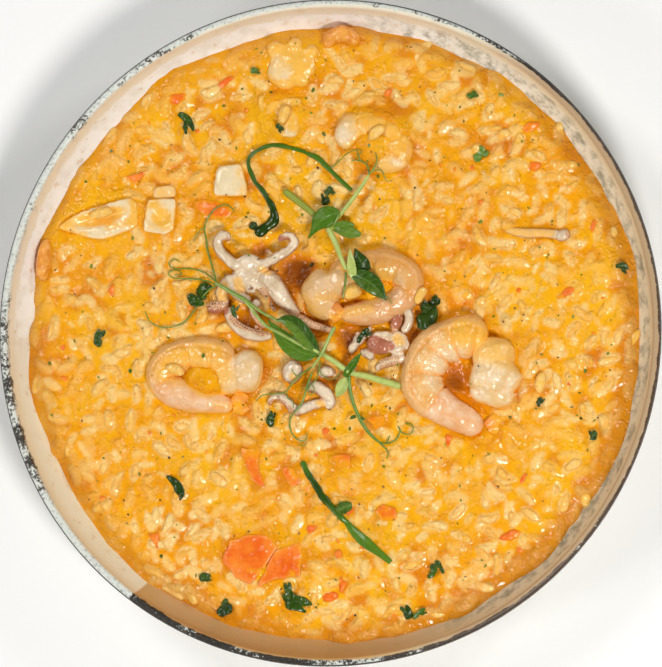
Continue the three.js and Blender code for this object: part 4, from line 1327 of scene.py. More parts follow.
def make_squid_head(material, surface):
    """The crown of arms round the beak."""
    main = [
        lump((5.6, 4.6, 2.9), power=2.2, seed=1).moved(-0.6, 1.6, 3),
        lump((4.6, 3.2, 2.2), power=2.0, seed=2).moved(-0.2, 6.8, 4.2, 0.1),
        arm([(-2.9, 4.9, 4.4), (-6.9, 8, 4.6), (-9.8, 10.9, 4.6), (-10.8, 13.8, 4.8), (-9.5, 16.3, 5.2),
             (-7.4, 16.2, 5.6), (-6.9, 14.2, 5.6)], [2.2, 2, 1.9, 1.9, 1.8, 1.6, 1.1]),
        arm([(0.7, 4.2, 4.4), (5.1, 6.2, 4.6), (9.6, 8.6, 4.6), (13.6, 10.9, 4.8), (16.1, 13.3, 5),
             (15.2, 15.6, 5.4), (12.6, 15.9, 5.6), (10.4, 14.2, 5.6)],
             [2.1, 1.9, 1.8, 1.8, 1.7, 1.6, 1.4, 1]),
        arm([(4.2, 3.6, 3.4), (8.2, -0.4, 3.6), (11.4, -5, 3), (14.8, -9.2, 2), (17.4, -12, 1.4)],
            [3.0, 3.7, 3.3, 2.4, 1.5]),
        arm([(-5.1, 1.8, 3.2), (-8.3, -0.4, 2.8), (-9.8, -3.5, 2.4), (-9.4, -6.8, 2.2), (-11.8, -8.8, 2),
             (-15, -8.2, 1.8)], [2.4, 2.4, 2.3, 2.2, 1.9, 1.5]),
        arm([(-6.2, 3.2, 4.2), (-6.4, -0.9, 4.4), (-3.2, -4.4, 4.2), (0.7, -6.2, 3.6)], [2, 1.9, 1.9, 1.6]),
        arm([(3.2, 0.2, 4.4), (4.4, -2.4, 4.2), (6.2, -4.8, 3.6)], [1.5, 1.3, 1.1]),
    ]
    ring = [(0.9 + 1.5 * math.cos(a), -2.0 + 1.1 * math.sin(a), 5.0) for a in np.linspace(0.0, 5.9, 9)]
    main += [arm(ring, [0.75] * 5, around=12), lump((0.9, 0.9, 0.5)).moved(0.9, -2.0, 4.6)]
    extra = [
        arm([(-7.9, -8, 1.8), (-6.9, -11.5, 1.8), (-5.1, -14.6, 1.8), (-1.6, -17.3, 1.7), (3.4, -18.6, 1.5),
             (7.8, -18.2, 1.2)], [1.9, 1.9, 1.9, 1.8, 1.5, 1]),
        arm([(3.4, -5.8, 2.6), (1, -9, 1.6), (2.6, -12.6, 1.2), (5.4, -15.4, 1)], [1.8, 1.5, 1.3, 0.9]),
        arm([(16.6, -11.6, 1.6), (21.2, -14.2, 1.4), (25.7, -15.7, 1.2), (29.7, -16.8, 1)],
            [1.7, 1.5, 1.3, 1]),
    ]
    paint = {
        "skin": [
            ([(5, -4), (7.2, -8), (11, -10.4), (16.2, -12.2)], 1.5, 1.8),
            ([(17, -12), (30, -17)], 1.4, 0.8),
            ([(1, -9), (2.6, -12.6), (5.4, -15.4)], 1.6, 0.8),
            ([(-6, -12), (-2.8, -14.4), (4.6, -17)], 0.9, 1),
            ([(-7, 14.6), (-6.8, 13.9)], 0.9, 0.8), ([(-9, -7.6), (-15, -7.2)], 1.2, 0.9),
        ],
        "red": [([(-8.6, -9.4), (-11.6, -10.2), (-15, -9.4)], 1.1, 0.8),
                ([(-6.8, 14.0), (-6.9, 13.6)], 0.7, 0.5),
                ([(11.4, 15), (13.8, 14.6)], 0.7, 0.5)],
        "stain": [([(-3.6, 0.4), (-2.8, -2)], 1.0, 1.6), ([(-8.6, -1.4), (-9.6, -5)], 1.2, 1.8),
                  ([(4.6, 4.6), (7, 3.4)], 0.6, 1.4)],
        "hole": [([(0.4, -2.1), (1.3, -1.9)], 0.2, 0.4), ([(3.4, 8.0), (3.6, 8.1)], 0.25, 0.2)],
    }
    rows = [
        ([(6.2, -5.2), (7.6, -8.4), (11, -10.8), (15.6, -12.6)], 0.42),
        ([(18, -12.6), (24, -15.2), (29, -16.6)], 0.4),
        ([(-6.0, -11.4), (-3.6, -14.0), (0.6, -16.2), (6.4, -17.4)], 0.38),
        ([(-9.2, -7.0), (-14.6, -6.9)], 0.42),
        ([(1.2, -9.4), (2.8, -12.6), (5.0, -14.8)], 0.34),
    ]
    make_squid_group("squid_head", (-6.3, -0.1), main, extra, paint, rows, material, surface)


def make_squid_arms_front(material, surface):
    main = [
        arm([(-3.8, 11, 3.2), (-6, 7.4, 3.9), (-6.2, 3.2, 2.9)], [3, 3.7, 2.8]),
        arm([(-1.8, 2.3, 2.2), (2.3, 1.9, 2.4), (5.9, -0.6, 2.4), (7, -3.3, 2), (4.9, -4.9, 1.8)],
            [1.7, 2.3, 2.3, 2.0, 1.4]),
        arm([(-14.4, -4, 1.6), (-13.4, -1.4, 1.8), (-11, -0.9, 1.8), (-8.4, -2.6, 1.8), (-5.9, -5.4, 1.6),
             (-3.3, -7.2, 1.4)], [0.9, 1.2, 1.6, 1.8, 1.8, 1.3]),
        lump((3.4, 2, 1.9), power=2.6, seed=4).moved(-1.9, -4.9, 1.7, 0.5),
        lump((2.6, 1.8, 1.8), power=2.6, seed=5).moved(2.4, -3.6, 1.6, 0.2),
        arm([(3.2, 5.6, 2), (5.5, 7.6, 2.5), (8.6, 6.4, 2.3)], [1.5, 2, 1.5]),
    ]
    paint = {
        "skin": [([(-2.4, -0.2), (1.0, 0.2), (3.8, -2.0)], 0.5, 0.6),
                 ([(-14.2, -4.2), (-13, -2.6), (-10, -2.8), (-7.6, -4.8), (-4, -7.6)], 0.55, 0.6)],
        "stain": [([(-5.4, 5.6), (-4.4, 4.4)], 0.6, 1.6), ([(3.0, -3.0), (4, -4)], 0.6, 1.4)],
        "red": [([(-14.4, -4.2), (-13.8, -2.8)], 0.4, 0.5)],
    }
    make_squid_group("squid_arms_front", (4.6, -2.3), main, [], paint, [], material, surface)


def make_squid_arms_right(material, surface):
    main = [
        lump((3.9, 2.1, 2.2), power=2.2, seed=6).moved(4.6, 6.8, 2, 1.35),
        lump((3.9, 3.4, 2.2), power=2.2, seed=7).moved(4.9, -1.6, 2, 1.2),
        lump((4.2, 3, 2.4), power=2.6, seed=8).moved(-1.4, -1.9, 2.2, -0.3),
        arm([(-5, -0.4, 2.2), (-2, 1.8, 2.8), (2.6, 1.6, 2.8), (5.6, 1.8, 2.6), (8, -0.6, 2.4),
             (8.2, -3.6, 2)], [0.9, 1.2, 1.3, 1.3, 1.2, 0.9]),
        arm([(-9.6, 2.6, 1.4), (-7, 1.6, 2), (-5.2, 2.6, 2), (-4.4, 5.2, 1.6)], [0.6, 0.9, 0.9, 0.6]),
        arm([(7.4, -4.9, 2.2), (5.6, -7, 2.2), (2.7, -7.4, 2), (-0.6, -8.6, 1.6), (-2.4, -10.6, 1.4)],
            [1.5, 1.7, 1.8, 1.6, 1.0]),
        lump((2.6, 1.9, 1.8), power=2.0, seed=9).moved(-8.4, 0.2, 1.6, 0.6),
        lump((2.2, 1.7, 1.6), power=2.0, seed=10).moved(-10.6, -2.6, 1.4, 1.1),
        lump((2.8, 1.8, 1.8), power=2.0, seed=11).moved(-5.4, -4.8, 1.6, -0.6),
    ]
    paint = {
        "red": [([(4.2, 5.4), (4.8, 8.6)], 1.7, 0.8), ([(-3.2, -1.4), (-0.6, -2.4)], 2.6, 0.9),
                ([(2.6, -1.8), (3, -2.4)], 0.9, 0.9)],
        "skin": [([(2.6, 4.4), (3.4, 3.0)], 0.8, 0.8), ([(5.2, -8.0), (-0.6, -9.6)], 0.6, 0.5),
                 ([(6.6, 5.4), (6.9, 8.6)], 0.25, 0.4)],
        "stain": [([(6.2, -0.6), (5.0, 0.4)], 1.0, 1.8)],
    }
    extra = [
        arm([(2.4, 9.8, 1.8), (4.6, 11.8, 2.4), (7.4, 11.4, 2.8), (9, 8.6, 3), (8.8, 5.4, 2.8),
             (6.8, 2.4, 2.2)], [1.1, 1.4, 1.5, 1.6, 1.6, 1.4]),
    ]
    rows = [([(5.4, -6.2), (2.6, -6.4), (-0.8, -7.6)], 0.36)]
    make_squid_group("squid_arms_right", (-0.6, 0), main, extra, paint, rows, material, surface)


def make_squid_ring_strip(material, surface):
    extra = [
        arm([(-10.4, 1.6, 1), (-4, 0.4, 1.2), (3.6, 0.2, 1.2), (9.4, -0.6, 1.2)], [1.2, 1.7, 1.6, 1.7],
            flat=0.7),
        lump((2.6, 2, 1.7), power=2.3, seed=12).moved(9.8, -0.6, 1.5, 0.4),
    ]
    paint = {"skin": [([(11.6, 0.2), (11.8, -0.4)], 0.7, 0.5)],
             "stain": [([(-9, 1.4), (5, 0.4)], 1.4, 1.8)]}
    make_squid_group("squid_ring_strip", (0.4, -0.3), [], extra, paint, [], material, surface)


def squid_slab():
    """A long piece, hollow like a trough, with sauce in its hollow."""
    def trough(x, y, share):
        hollow = smoothstep(1.0, 0.25, np.hypot(x / 10.5, (y - 0.22 * x + 0.6) / 3.4))
        return -1.9 * hollow - 0.09 * np.maximum(0.0, -x - 4.0) + 0.5 * smoothstep(0.55, 0.9, share)

    corners = [(-15.5, -3.4), (-8, 1.6), (10.2, 7), (13.2, 4.8), (13.6, -3.6), (1, -8), (-6, -6.8)]
    body = slab(corners, 4.6, trough, square=4.5, around=90, rings=16, seed=1, cut=0.12)
    x, y, _ = body.vertices.T
    dip = smoothstep(1.1, 0.5, np.hypot(x / 10.5, (y - 0.22 * x) / 3.4))
    return body, np.maximum(0.2 + dip, smoothstep(-5.0, -12.0, x))


def squid_square():
    """A square piece, dished in its middle."""
    def dished(x, y, share):
        return 0.9 * share ** 2 - 0.8 * smoothstep(4.0, 0.5, np.hypot(x - 0.4, y + 0.4))

    corners = [(-6.2, -5.4), (-4.4, 5.8), (5.8, 6.2), (4.8, -5), (1.8, -6.6)]
    body = slab(corners, 4.4, dished, seed=2, cut=0.1)
    x, y, _ = body.vertices.T
    return body, 0.2 + smoothstep(4.8, 1.8, np.hypot(x - 0.6, y + 0.8))


def squid_cube():
    """A thick piece whose top leans to one side."""
    def leaning(x, y, share):
        return 0.05 * x - 0.05 * y - 0.5 * smoothstep(1.5, 4.5, x)

    corners = [(-6.4, -5.4), (-5.2, 5), (3.8, 6), (6.2, -5.6)]
    body = slab(corners, 5.2, leaning, square=5.5, seed=3, cut=0.1)
    return body, 0.02 + 0.5 * smoothstep(-1.0, 5.0, body.vertices[:, 0])


def seafood_lobed():
    """A rounded heap of lobes under sauce."""
    body = fused([
        lump((9.2, 7.8, 4.4), power=2.6, uneven=0.05, seed=21).moved(0, -0.6),
        lump((3.4, 2.8, 2.8), power=2.2, seed=22).moved(-5.6, 5.4, 1.2),
        lump((3, 2.8, 2.8), seed=23).moved(1, 6.6, 1.2),
        lump((3.2, 2.6, 2.6), seed=24).moved(6.6, 4.6, 1),
        lump((4.4, 3.2, 2.8), seed=25).moved(-4.8, -1.6, 1.6, 0.9),
        lump((3.6, 3, 2.4), seed=26).moved(3.4, -4.6, 1.4),
        lump((3.2, 2.2, 2.2), seed=27).moved(-2, -6.4, 1),
    ], voxel=0.5, softening=16)
    return body, 0.95 - 0.55 * nearness(body.vertices, [(-6.2, -0.4), (-3.6, -3.4)], 1.6, 4.0)


def seafood_wedge():
    """A piece with curled edges under sauce."""
    def curled(x, y, share):
        return 0.7 * share ** 3 + 0.9 * smoothstep(-2.0, -7.5, y) + 0.6 * np.sin(x * 0.55)

    corners = [(-8.6, 8), (0, 6.6), (8.4, 6.4), (6, -8), (-2.4, -6.8), (-7.6, 0)]
    body = slab(corners, 5.0, curled, square=3.4, seed=5)
    return body, 1.0 - 0.6 * smoothstep(-3.5, -7.0, body.vertices[:, 1])


# The cut pieces: node, offset from its middle, lift, and what makes the body and how much sauce is on it.
CUT_SQUID = [
    ("squid_slab", (0.5, 0.5), 0.9, squid_slab),
    ("squid_square", (0.2, 0.2), 1.1, squid_square),
    ("squid_cube", (0.1, -0.2), 0.9, squid_cube),
]
COATED_SEAFOOD = [
    ("seafood_lobed", (0, -0.4), 0.9, seafood_lobed),
    ("seafood_wedge", (0, 0.5), 0.6, seafood_wedge),
]


def make_cut_pieces(pieces, material, surface):
    """Cut pieces at the back left, with sauce on their sides and where they are sunk in it."""
    for node, offset, lift, maker in pieces:
        body, stain = maker()
        body = wrinkled(on_level(body, node, offset, lift), depth=0.09, size=3.2, seed=len(node))
        stain = np.maximum(stain, 1.2 * body.steepness(0.85, 0.3))
        stain = np.maximum(stain, 1.1 * smoothstep(2.6, 0.1, surface.above(body)))
        surface.cover(body)
        new_piece(node + "_piece", body.with_values(stain=stain, cream=0.6), material, [node])


def make_squid_dice(material):
    """A small dice of squid next to the square piece."""
    corners = [(-4.2, -2.2), (-3.6, 2.4), (3.9, 2.7), (4.2, -1.9)]
    dice = slab(corners, 3.4, square=4.0, around=44, rings=9, seed=4)
    dice = on_level(dice, "squid_square", (1.4, 8.2), 0.7, 0.08)
    new_piece("squid_dice", dice.with_values(stain=0.6, cream=0.6), material)


def mussel_material():
    """Orange-brown flesh, the colour of the sauce where `stain` says."""
    shader = Shader("mussel_flesh", Roughness=0.26)
    shader.soften(weight=0.3, reach=1.6)
    mottle = shader.noise(2.4, detail=4.0, roughness=0.6)
    shader.colour = shader.mix(shader.ramp(mottle, 0.35, 0.65), srgb(222, 136, 40), srgb(242, 170, 76))
    shader.coat(shader.ramp(shader.value("stain"), 0.3, 1.0), SAUCE)
    return shader.finish(Normal=shader.bump(mottle, 0.3))


def make_mussels(surface):
    def ridged(along, turn):
        return 1.0 + 0.06 * np.sin(along * 21.0) * np.cos(2 * math.pi * turn)

    material = mussel_material()
    left = fused([
        lump((7.2, 2.8, 3), power=2.3, seed=31).moved(0, 0, 0, math.pi / 2 - 0.12),
        lump((3, 2.2, 2.6), seed=32).moved(-0.3, -3.6, 0.5, 1.2),
        lump((2.8, 2, 2.4), seed=33).moved(0.2, 3.2, 0.5, 1.8),
    ], voxel=0.4, softening=4)
    route = [(-6, -2.4, 0), (-3, 1.2, 0.4), (1.6, 1.8, 0.4), (5.8, -1.6, 0)]
    back = tube(route, [1.8, 2.8, 2.9, 2.0], around=28, rings=60, swell=ridged).plain()
    for node, body, offset, lift in (("mussel_left", left, (0, 0), 1.5),
                                     ("mussel_back", back, (0.2, -1.0), 1.2)):
        body = on_level(body, node, offset, lift)
        body = body.with_values(stain=smoothstep(1.8, 0.0, surface.above(body)))
        new_piece(node + "_flesh", body, material, [node])


# ---------------------------------------------------------------- tomato

# Node, offset, corners, thickness, lift, and how much its edges curl up.
TOMATO = [
    ("tomato_petal_large", (3.6, 1.6),
     [(-10.4, -2.2), (-8.6, 4.6), (-1.2, 7.2), (6, 7), (9.2, 2.8), (4.4, -4.4), (-1.2, -10.6),
      (-7.2, -6.6)], 2.2, 0.95, 0.5),
    ("tomato_petal_small", (2.6, 2.6),
     [(-3.2, 3.6), (0.6, 5), (6.4, 6.6), (6.2, -5.6), (-2.4, -6), (-9.8, -9.8), (-7, -3.8)], 2.2, 1.05,
     0.5),
    ("tomato_soft", (-0.2, -0.3),
     [(-8.2, 3.4), (-1, 4.4), (8, 0.6), (6.4, -4.4), (-3.4, -3.8)], 2.8, 0.45, -0.5),
    ("tomato_sliver", (0, 0.1),
     [(-4.6, 7), (3.4, 6.6), (1.8, 1.8), (4.6, -7.2), (0.2, -4.4)], 1.8, 1.1, 0.3),
    ("tomato_dice_front", (0.2, 0.3),
     [(-4, 3.6), (3.2, 3), (3.6, -2), (0.8, -4.2)], 2.6, 0.95, 0.2),
    ("tomato_dice_centre", (-0.1, 0),
     [(-3.4, 2.6), (2.6, 3), (3.6, -2.4), (-2.6, -3)], 2.8, 0.95, 0.2),
    ("tomato_dice_right", (0.2, -0.3),
     [(-4.4, 1.2), (-1, 3.6), (3.6, 2), (4, -2.6), (-1, -3)], 2.8, 0.95, 0.2),
    ("tomato_under_shoot", (0.1, 0.1),
     [(-5.4, 1.6), (1.6, 2.8), (5.2, 0.6), (2.6, -3), (-2, -2.6)], 2.4, 0.95, 0.1),
]

# Smaller tomato pieces that lie in the sauce: x, y, heading in degrees, half length, half width.
TOMATO_BITS = [
    (-54.4, 82.4, 20, 5, 2.8), (-61.8, -70.4, 130, 3.6, 2.4), (3.4, -86.4, 80, 3.2, 2.2),
    (40.6, -37, 70, 3.2, 1.6), (68.3, 70.8, 25, 5.4, 2), (70.3, 57.8, 50, 2.8, 2.4),
    (19.2, 83.3, 60, 1.9, 1.4), (81.5, 13.5, 42, 5.2, 1.5), (-67.4, 56.1, 22, 6, 1.8),
    (-37.8, 87.6, 28, 4.8, 1.7), (61.5, -70, 10, 4.2, 2.6), (5.5, -60.5, 15, 3, 2.2),
    (-7, -67, 40, 2.6, 1.8), (-36, -6, 60, 1.6, 1.2), (2.2, -76, 120, 2.2, 1.5),
    (-1, -90.5, 10, 3.4, 2.4), (66.5, -50, 60, 2.6, 0.8), (-77, 16, 80, 2.4, 1.3),
    (90.5, 36, 75, 2.6, 1.2), (-2.5, -33.5, 30, 1.8, 1.2),
]

# How many smaller bits of tomato, herbs and specks are tried. Those that fall on a topping are mostly
# left out.
TINY_TOMATO_BITS = 46
HERB_BITS = 230
SPECKS = 170


def tomato_material():
    """Orange-red flesh, paler at its cut edges, with a film of sauce where `stain` says."""
    shader = Shader("tomato_flesh", Roughness=0.24, Specular_IOR_Level=0.35)
    shader.soften(weight=0.3, reach=1.4)
    mottle = shader.noise(2.6, detail=4.0, roughness=0.6)
    ripeness = shader.ramp(shader.noise(6.0, detail=3.0), 0.3, 0.75)
    shader.colour = shader.mix(ripeness, srgb(236, 98, 14), srgb(249, 142, 46))
    shader.coat(shader.ramp(shader.value("edge"), 0.75, 1.0) * 0.35, srgb(252, 168, 92))
    film = (mottle - 0.5) * 1.6 + shader.value("stain")
    shader.coat(shader.ramp(film, 0.2, 1.0) * 0.8, SAUCE)
    return shader.finish(Normal=wet_bumps(shader, crinkled=0.25, size=2.4, depth=0.3))


def tomato_bit(surface, random, x, y, heading, a, b, lift):
    """A small piece of tomato with an uneven outline, half sunk in the sauce."""
    angles = np.sort(random.uniform(0.0, 2.0 * math.pi, 6) * 0.25 + np.arange(6) * math.pi / 3)
    reach = random.uniform(0.8, 1.15, 6)
    corners = np.stack([a * reach * np.cos(angles), b * reach * np.sin(angles)], axis=1)
    big = max(a, b) > 2.5
    around, rings = (48, 9) if big else (18, 5)
    body = slab(corners, min(a, b) * 1.1, passes=1, square=2.4, around=around, rings=rings, uneven=0.08,
                seed=int(x * 7) % 97, ragged=0.06)
    body = body.moved(x, y, float(surface.at(x, y)) + lift - 0.25 * b * big, heading)
    return body.with_values(stain=random.uniform(0.1, 0.45) + smoothstep(0.6, -0.1, surface.above(body)))


def make_tomato_pieces(material, surface):
    for seed, (node, offset, corners, thickness, lift, curl) in enumerate(TOMATO):
        def curled(x, y, share):
            return curl * share ** 3 + 0.12 * np.sin(x * 0.8 + seed) * np.cos(y * 0.7)

        body = slab(corners, thickness, curled, square=3.0, around=72, rings=12, uneven=0.06, seed=seed,
                    ragged=0.03, cut=0.12)
        body = on_level(body, node, offset, lift)
        surface.cover(body)
        stain = (0.15 if "petal" in node else 0.32) + smoothstep(1.1, -0.2, surface.above(body))
        new_piece(node + "_flesh", body.with_values(stain=stain), material, [node])


def make_tomato_bits(material, surface):
    random = np.random.default_rng(88)
    bodies = []
    for x, y, degrees, a, b in TOMATO_BITS:
        bodies.append(tomato_bit(surface, random, x, y, math.radians(degrees), a, b, 0.35))
    for _ in range(TINY_TOMATO_BITS):
        _, angle, x, y = in_disc(random, 101.0)
        size = random.uniform(0.7, 1.7)
        if surface.at(x, y, surface.away) > 1.5:
            width = size * random.uniform(0.5, 0.9)
            bodies.append(tomato_bit(surface, random, x, y, angle * 5.0, size, width, -0.1))
    new_piece("tomato_bits", bodies, material)


# ---------------------------------------------------------------- greens

def greens_material(name, roughness):
    """Green from dark to light by `tone`, olive or bluish in places, with veins where `leafy` is 1. The
    bluish places are partly a painted sheen.
    """
    shader = Shader(name, Roughness=roughness, Specular_IOR_Level=0.4)
    mottle = shader.noise(2.4, detail=4.0, roughness=0.6)
    tone = (mottle - 0.5) * 0.35 + shader.value("tone")
    shader.colour = shader.mix(shader.ramp(tone, 0.0, 0.5), srgb(28, 52, 2), srgb(74, 116, 14))
    shader.coat(shader.ramp(tone, 0.5, 1.0), srgb(204, 214, 122))
    olive = shader.mix(mottle, srgb(128, 128, 8), srgb(158, 162, 30))
    shader.coat(shader.value("olive"), olive)
    # Partly the leaf's paler bluish side, partly a painted sheen on one side of a leaf.
    shader.coat(shader.value("bloom") * shader.ramp(mottle, 0.2, 0.6), srgb(102, 132, 36))
    shader.coat(shader.value("streak") * 0.35, srgb(176, 206, 120))
    # Side veins lean forward from the midrib.
    off = shader.math("ABSOLUTE", shader.value("across"))
    wave = shader.math("FRACT", off * -1.1 + shader.value("along") * 8.0)
    wave = shader.math("ABSOLUTE", wave - 0.5)
    vein = shader.math("MAXIMUM", shader.ramp(wave, 0.09, 0.02), shader.ramp(off, 0.13, 0.04))
    vein = vein * shader.value("leafy")
    shader.coat(vein * 0.18, srgb(140, 184, 80))
    return shader.finish(Normal=shader.bump(mottle, 0.15, below=shader.bump(vein, 0.08)))


def stem(route, radii, tone, olive=0.0):
    """A round stalk or tendril, with paler streaks along it."""
    _, length = smooth_route(route, 60)
    thick = max(radii) > 0.45
    body = tube(route, radii, around=14 if thick else 7, rings=max(14, int(length * 1.5)))
    streak = (0.5 + 0.5 * np.cos(6.0 * math.pi * body.values["turn"])) * (1.0 if thick else 0.4)
    return body.plain().with_values(tone=tone, olive=olive, streak=streak)


def leaf(route, half_widths, tone, bloom=0.0, bloom_and_sheen_side=0.0, leafy=1.0, **shape):
    """A leaf whose bluish waxy tint lies on one side of its midrib, or all over; it is partly a painted
    sheen.
    """
    body = blade(route, half_widths, rings=44, across=11, **shape)
    across = body.values["across"]
    side = np.ones_like(across) if bloom_and_sheen_side == 0.0 else smoothstep(-0.1, 0.25, across * bloom_and_sheen_side)
    return body.with_values(tone=tone, bloom=bloom * side, leafy=leafy)


# Tendrils of the front shoot from its upper node, then from the stem that crosses it: route and thickness.
FRONT_TENDRILS = [
    ([(-30, 18.4), (-31.3, 22.5), (-33.3, 28.9), (-34.1, 34.1), (-34.4, 39.1), (-30.4, 44.7),
      (-25.5, 45.3), (-23.5, 41.9), (-24.8, 40.5)], 0.34),
    ([(-34.3, 38.2), (-36.9, 36.2), (-38.7, 32.1)], 0.22),
    ([(-30, 18.4), (-32.5, 20.9), (-36.1, 22.9), (-40.5, 23.8), (-45.5, 23.9), (-47.3, 25.4),
      (-45.6, 27.1), (-43.2, 26.2), (-43.1, 23.6)], 0.28),
    ([(-30.6, 18), (-34.5, 19.6), (-39.7, 20.2), (-46.5, 20.7), (-47.6, 22.4), (-45.2, 23.4),
      (-42.4, 22.6), (-43.6, 21.3), (-46.2, 21.9), (-44.6, 22.6)], 0.28),
    ([(-29.9, 17.9), (-33.7, 15.4), (-36.1, 13), (-38.5, 9), (-41.7, 5.4), (-45.7, 3.7),
      (-50.4, 3.7), (-54.4, 6.2), (-56.4, 12.3)], 0.3),
    ([(4.4, -10), (-1.1, -14.5), (-3.4, -16.8), (-5.9, -19.4), (-9.4, -19.9), (-14.2, -20.4),
      (-17.1, -22.6), (-15.8, -24)], 0.34),
    ([(-1.6, -14.2), (-2.8, -13), (-3.6, -11.5)], 0.22),
    ([(-5.8, -19.4), (-5.4, -21.4), (-3.4, -23.1), (-3.7, -25.7)], 0.22),
    ([(3.4, -12.4), (1.6, -17.1), (0.3, -21.8), (-1.7, -25.1), (-3.8, -27.2), (-4.8, -30.4), (-4.1, -33.7),
      (-1.7, -36.2), (0.6, -36), (1.6, -34.3), (0.6, -32.7), (-1.2, -31.5)], 0.36),
    ([(-2.1, -37.5), (-0.1, -37.8), (1.4, -36.8)], 0.2),
    ([(5.9, -9), (5.6, -12.5), (4.3, -15.8), (2.2, -18.2), (1.8, -20.2), (3.4, -20.6), (4.2, -18.4),
      (2.8, -17), (0.4, -18.2), (-0.4, -19.6), (0.8, -20.8)], 0.22),
    ([(6.2, -8.6), (5.9, -12.1), (7.3, -14.1), (9.9, -15.3), (11.9, -14.1), (12.9, -12.5),
      (11.9, -11), (10.8, -11.8)], 0.2),
    ([(25.8, -36.8), (29.3, -37.2), (31.6, -36.3), (33, -34), (34, -31.7), (33, -31), (32.5, -32),
      (33.6, -33.2), (35.3, -34.5), (37.3, -34), (38, -31.7), (36.6, -30), (35, -30.4), (36, -31.7),
      (38, -31), (38.8, -29)], 0.26),
    ([(28.6, -37.2), (29.4, -36), (30.1, -34.3)], 0.26),
    ([(26.2, -37), (28.3, -39), (29.3, -40.6), (28.5, -43.3)], 0.32),
]


def front_shoot_parts():
    """The stalks, leaves and buds of the shoot in front of the middle."""
    return [
        stem([(34, -17.8, 4), (28.3, -16.1, 4.6), (21.6, -14.1, 5.4), (16.3, -12.8, 6.2),
              (11.6, -9.5, 7.6), (6.3, -6.2, 8.9), (0.4, -4, 9.6)],
             [1.25, 1.2, 1.1, 1.05, 0.95, 0.8, 0.6], 0.86),
        stem([(1, -4.2, 9.9), (-1.3, -2.9, 10.2), (-6.9, 0.3, 10.4), (-11.7, 2.9, 10.2), (-15, 6.2, 10.1),
              (-17.8, 9.8, 10.1), (-19.9, 12.2, 10.1)], [0.5, 0.62, 0.62, 0.6, 0.58, 0.55, 0.5], 0.72),
        stem([(-7.6, 4.4, 9.6), (-9.7, 5.8, 9.9), (-13.7, 7.9, 10.2), (-19.2, 12, 10.3), (-24.1, 14.8, 9.8),
              (-30.2, 18.5, 8.8)], [0.4, 0.5, 0.55, 0.75, 0.72, 0.5], 0.66),
        leaf([(6.2, -6.8, 9.2), (2.2, -1.6, 10), (-1.2, 2.6, 10.8), (-4.6, 4.8, 11.2), (-8.4, 5.2, 10.6)],
             [0.6, 2.5, 2.9, 2.4, 0.2], 0.2, bloom=0.95, bloom_and_sheen_side=-1.0, fold=0.34, wave=0.07, waves=2.2),
        leaf([(6, -7, 9.2), (0.6, -6.2, 9.2), (-4.7, -2.6, 9.2), (-8.6, 1.6, 9.5), (-11.6, 5.2, 10)],
             [0.5, 3.1, 3.3, 1.8, 0.15], 0.4, bloom=0.4, fold=0.1, wave=0.09, waves=2.6),
        stem([(11.9, 2.6, 11.4), (9.9, -1.2, 11.4), (7.6, -5.9, 10.8), (5.9, -8.5, 10), (3.4, -11.6, 8.6)],
             [0.62, 0.62, 0.6, 0.5, 0.4], 0.74),
        leaf([(14.6, -14.2, 6.4), (17.2, -11, 7.4), (19, -8.6, 8), (20.5, -6.4, 8.4)],
             [0.8, 1.4, 1.2, 0.2], 0.42, fold=0.7, wave=0.12, waves=3.0),
        leaf([(15.6, -14.4, 6.2), (14.2, -16.8, 6), (12.8, -19.2, 5.8), (11.6, -21.2, 5.2)],
             [0.5, 1.9, 1.8, 0.3], 0.86, bloom=0.3, bloom_and_sheen_side=-1.0, fold=0.22, wave=0.04),
        stem([(16.1, -14, 6.4), (16.3, -18.4, 5.6), (17.3, -23.1, 4.6), (19, -27.7, 4), (21, -31.4, 3.7),
              (23.6, -34.7, 3.5), (26.8, -37.4, 3.4)], [0.68, 0.62, 0.6, 0.6, 0.58, 0.5, 0.34], 0.55),
        leaf([(18.2, -27.9, 4.2), (17.2, -28.2, 4.4), (16, -28.8, 4)], [0.5, 0.6, 0.1], 0.3, fold=0.3),
        leaf([(19.2, -28.6, 4), (20.4, -28.6, 4.2), (21.4, -29.2, 3.8)], [0.5, 0.5, 0.1], 0.3, fold=0.3),
        lump((1, 0.8, 0.7), around=14, rings=9).moved(16.3, -13.2, 6.4).with_values(tone=0.75),
        lump((0.8, 0.8, 0.6), around=14, rings=9).moved(6.3, -6.3, 9.4).with_values(tone=0.8),
    ]


# Tendrils of the back shoot, from the end of its long stem, its leaves and its upper tip.
BACK_TENDRILS = [
    ([(15.2, 16.6), (15.1, 18.5), (14.3, 20.6), (12.1, 21.6), (10, 22), (8, 21.3)], 0.34),
    ([(12.4, 21.5), (11.6, 23.8), (11.4, 25.9)], 0.24),
    ([(1.5, 19.3), (3.6, 20.9), (7.2, 23.9), (10.4, 25.2), (13.2, 25.3), (12.5, 24.1), (9.6, 22)], 0.22),
    ([(15.3, 16.7), (17.1, 18.8), (18.2, 21.3), (18, 23.4), (17.3, 25.2)], 0.3),
    ([(16, 17.5), (17.8, 18.3), (19.6, 18.3), (20.5, 17), (21, 15.1), (22.1, 14.4), (24.2, 15.8)], 0.22),
    ([(8.3, -17.2), (8.1, -20.8), (7.3, -25.1), (7, -27.4)], 0.4),
    ([(21.6, -25.4), (23, -26.6), (24.3, -28.6)], 0.24),
]


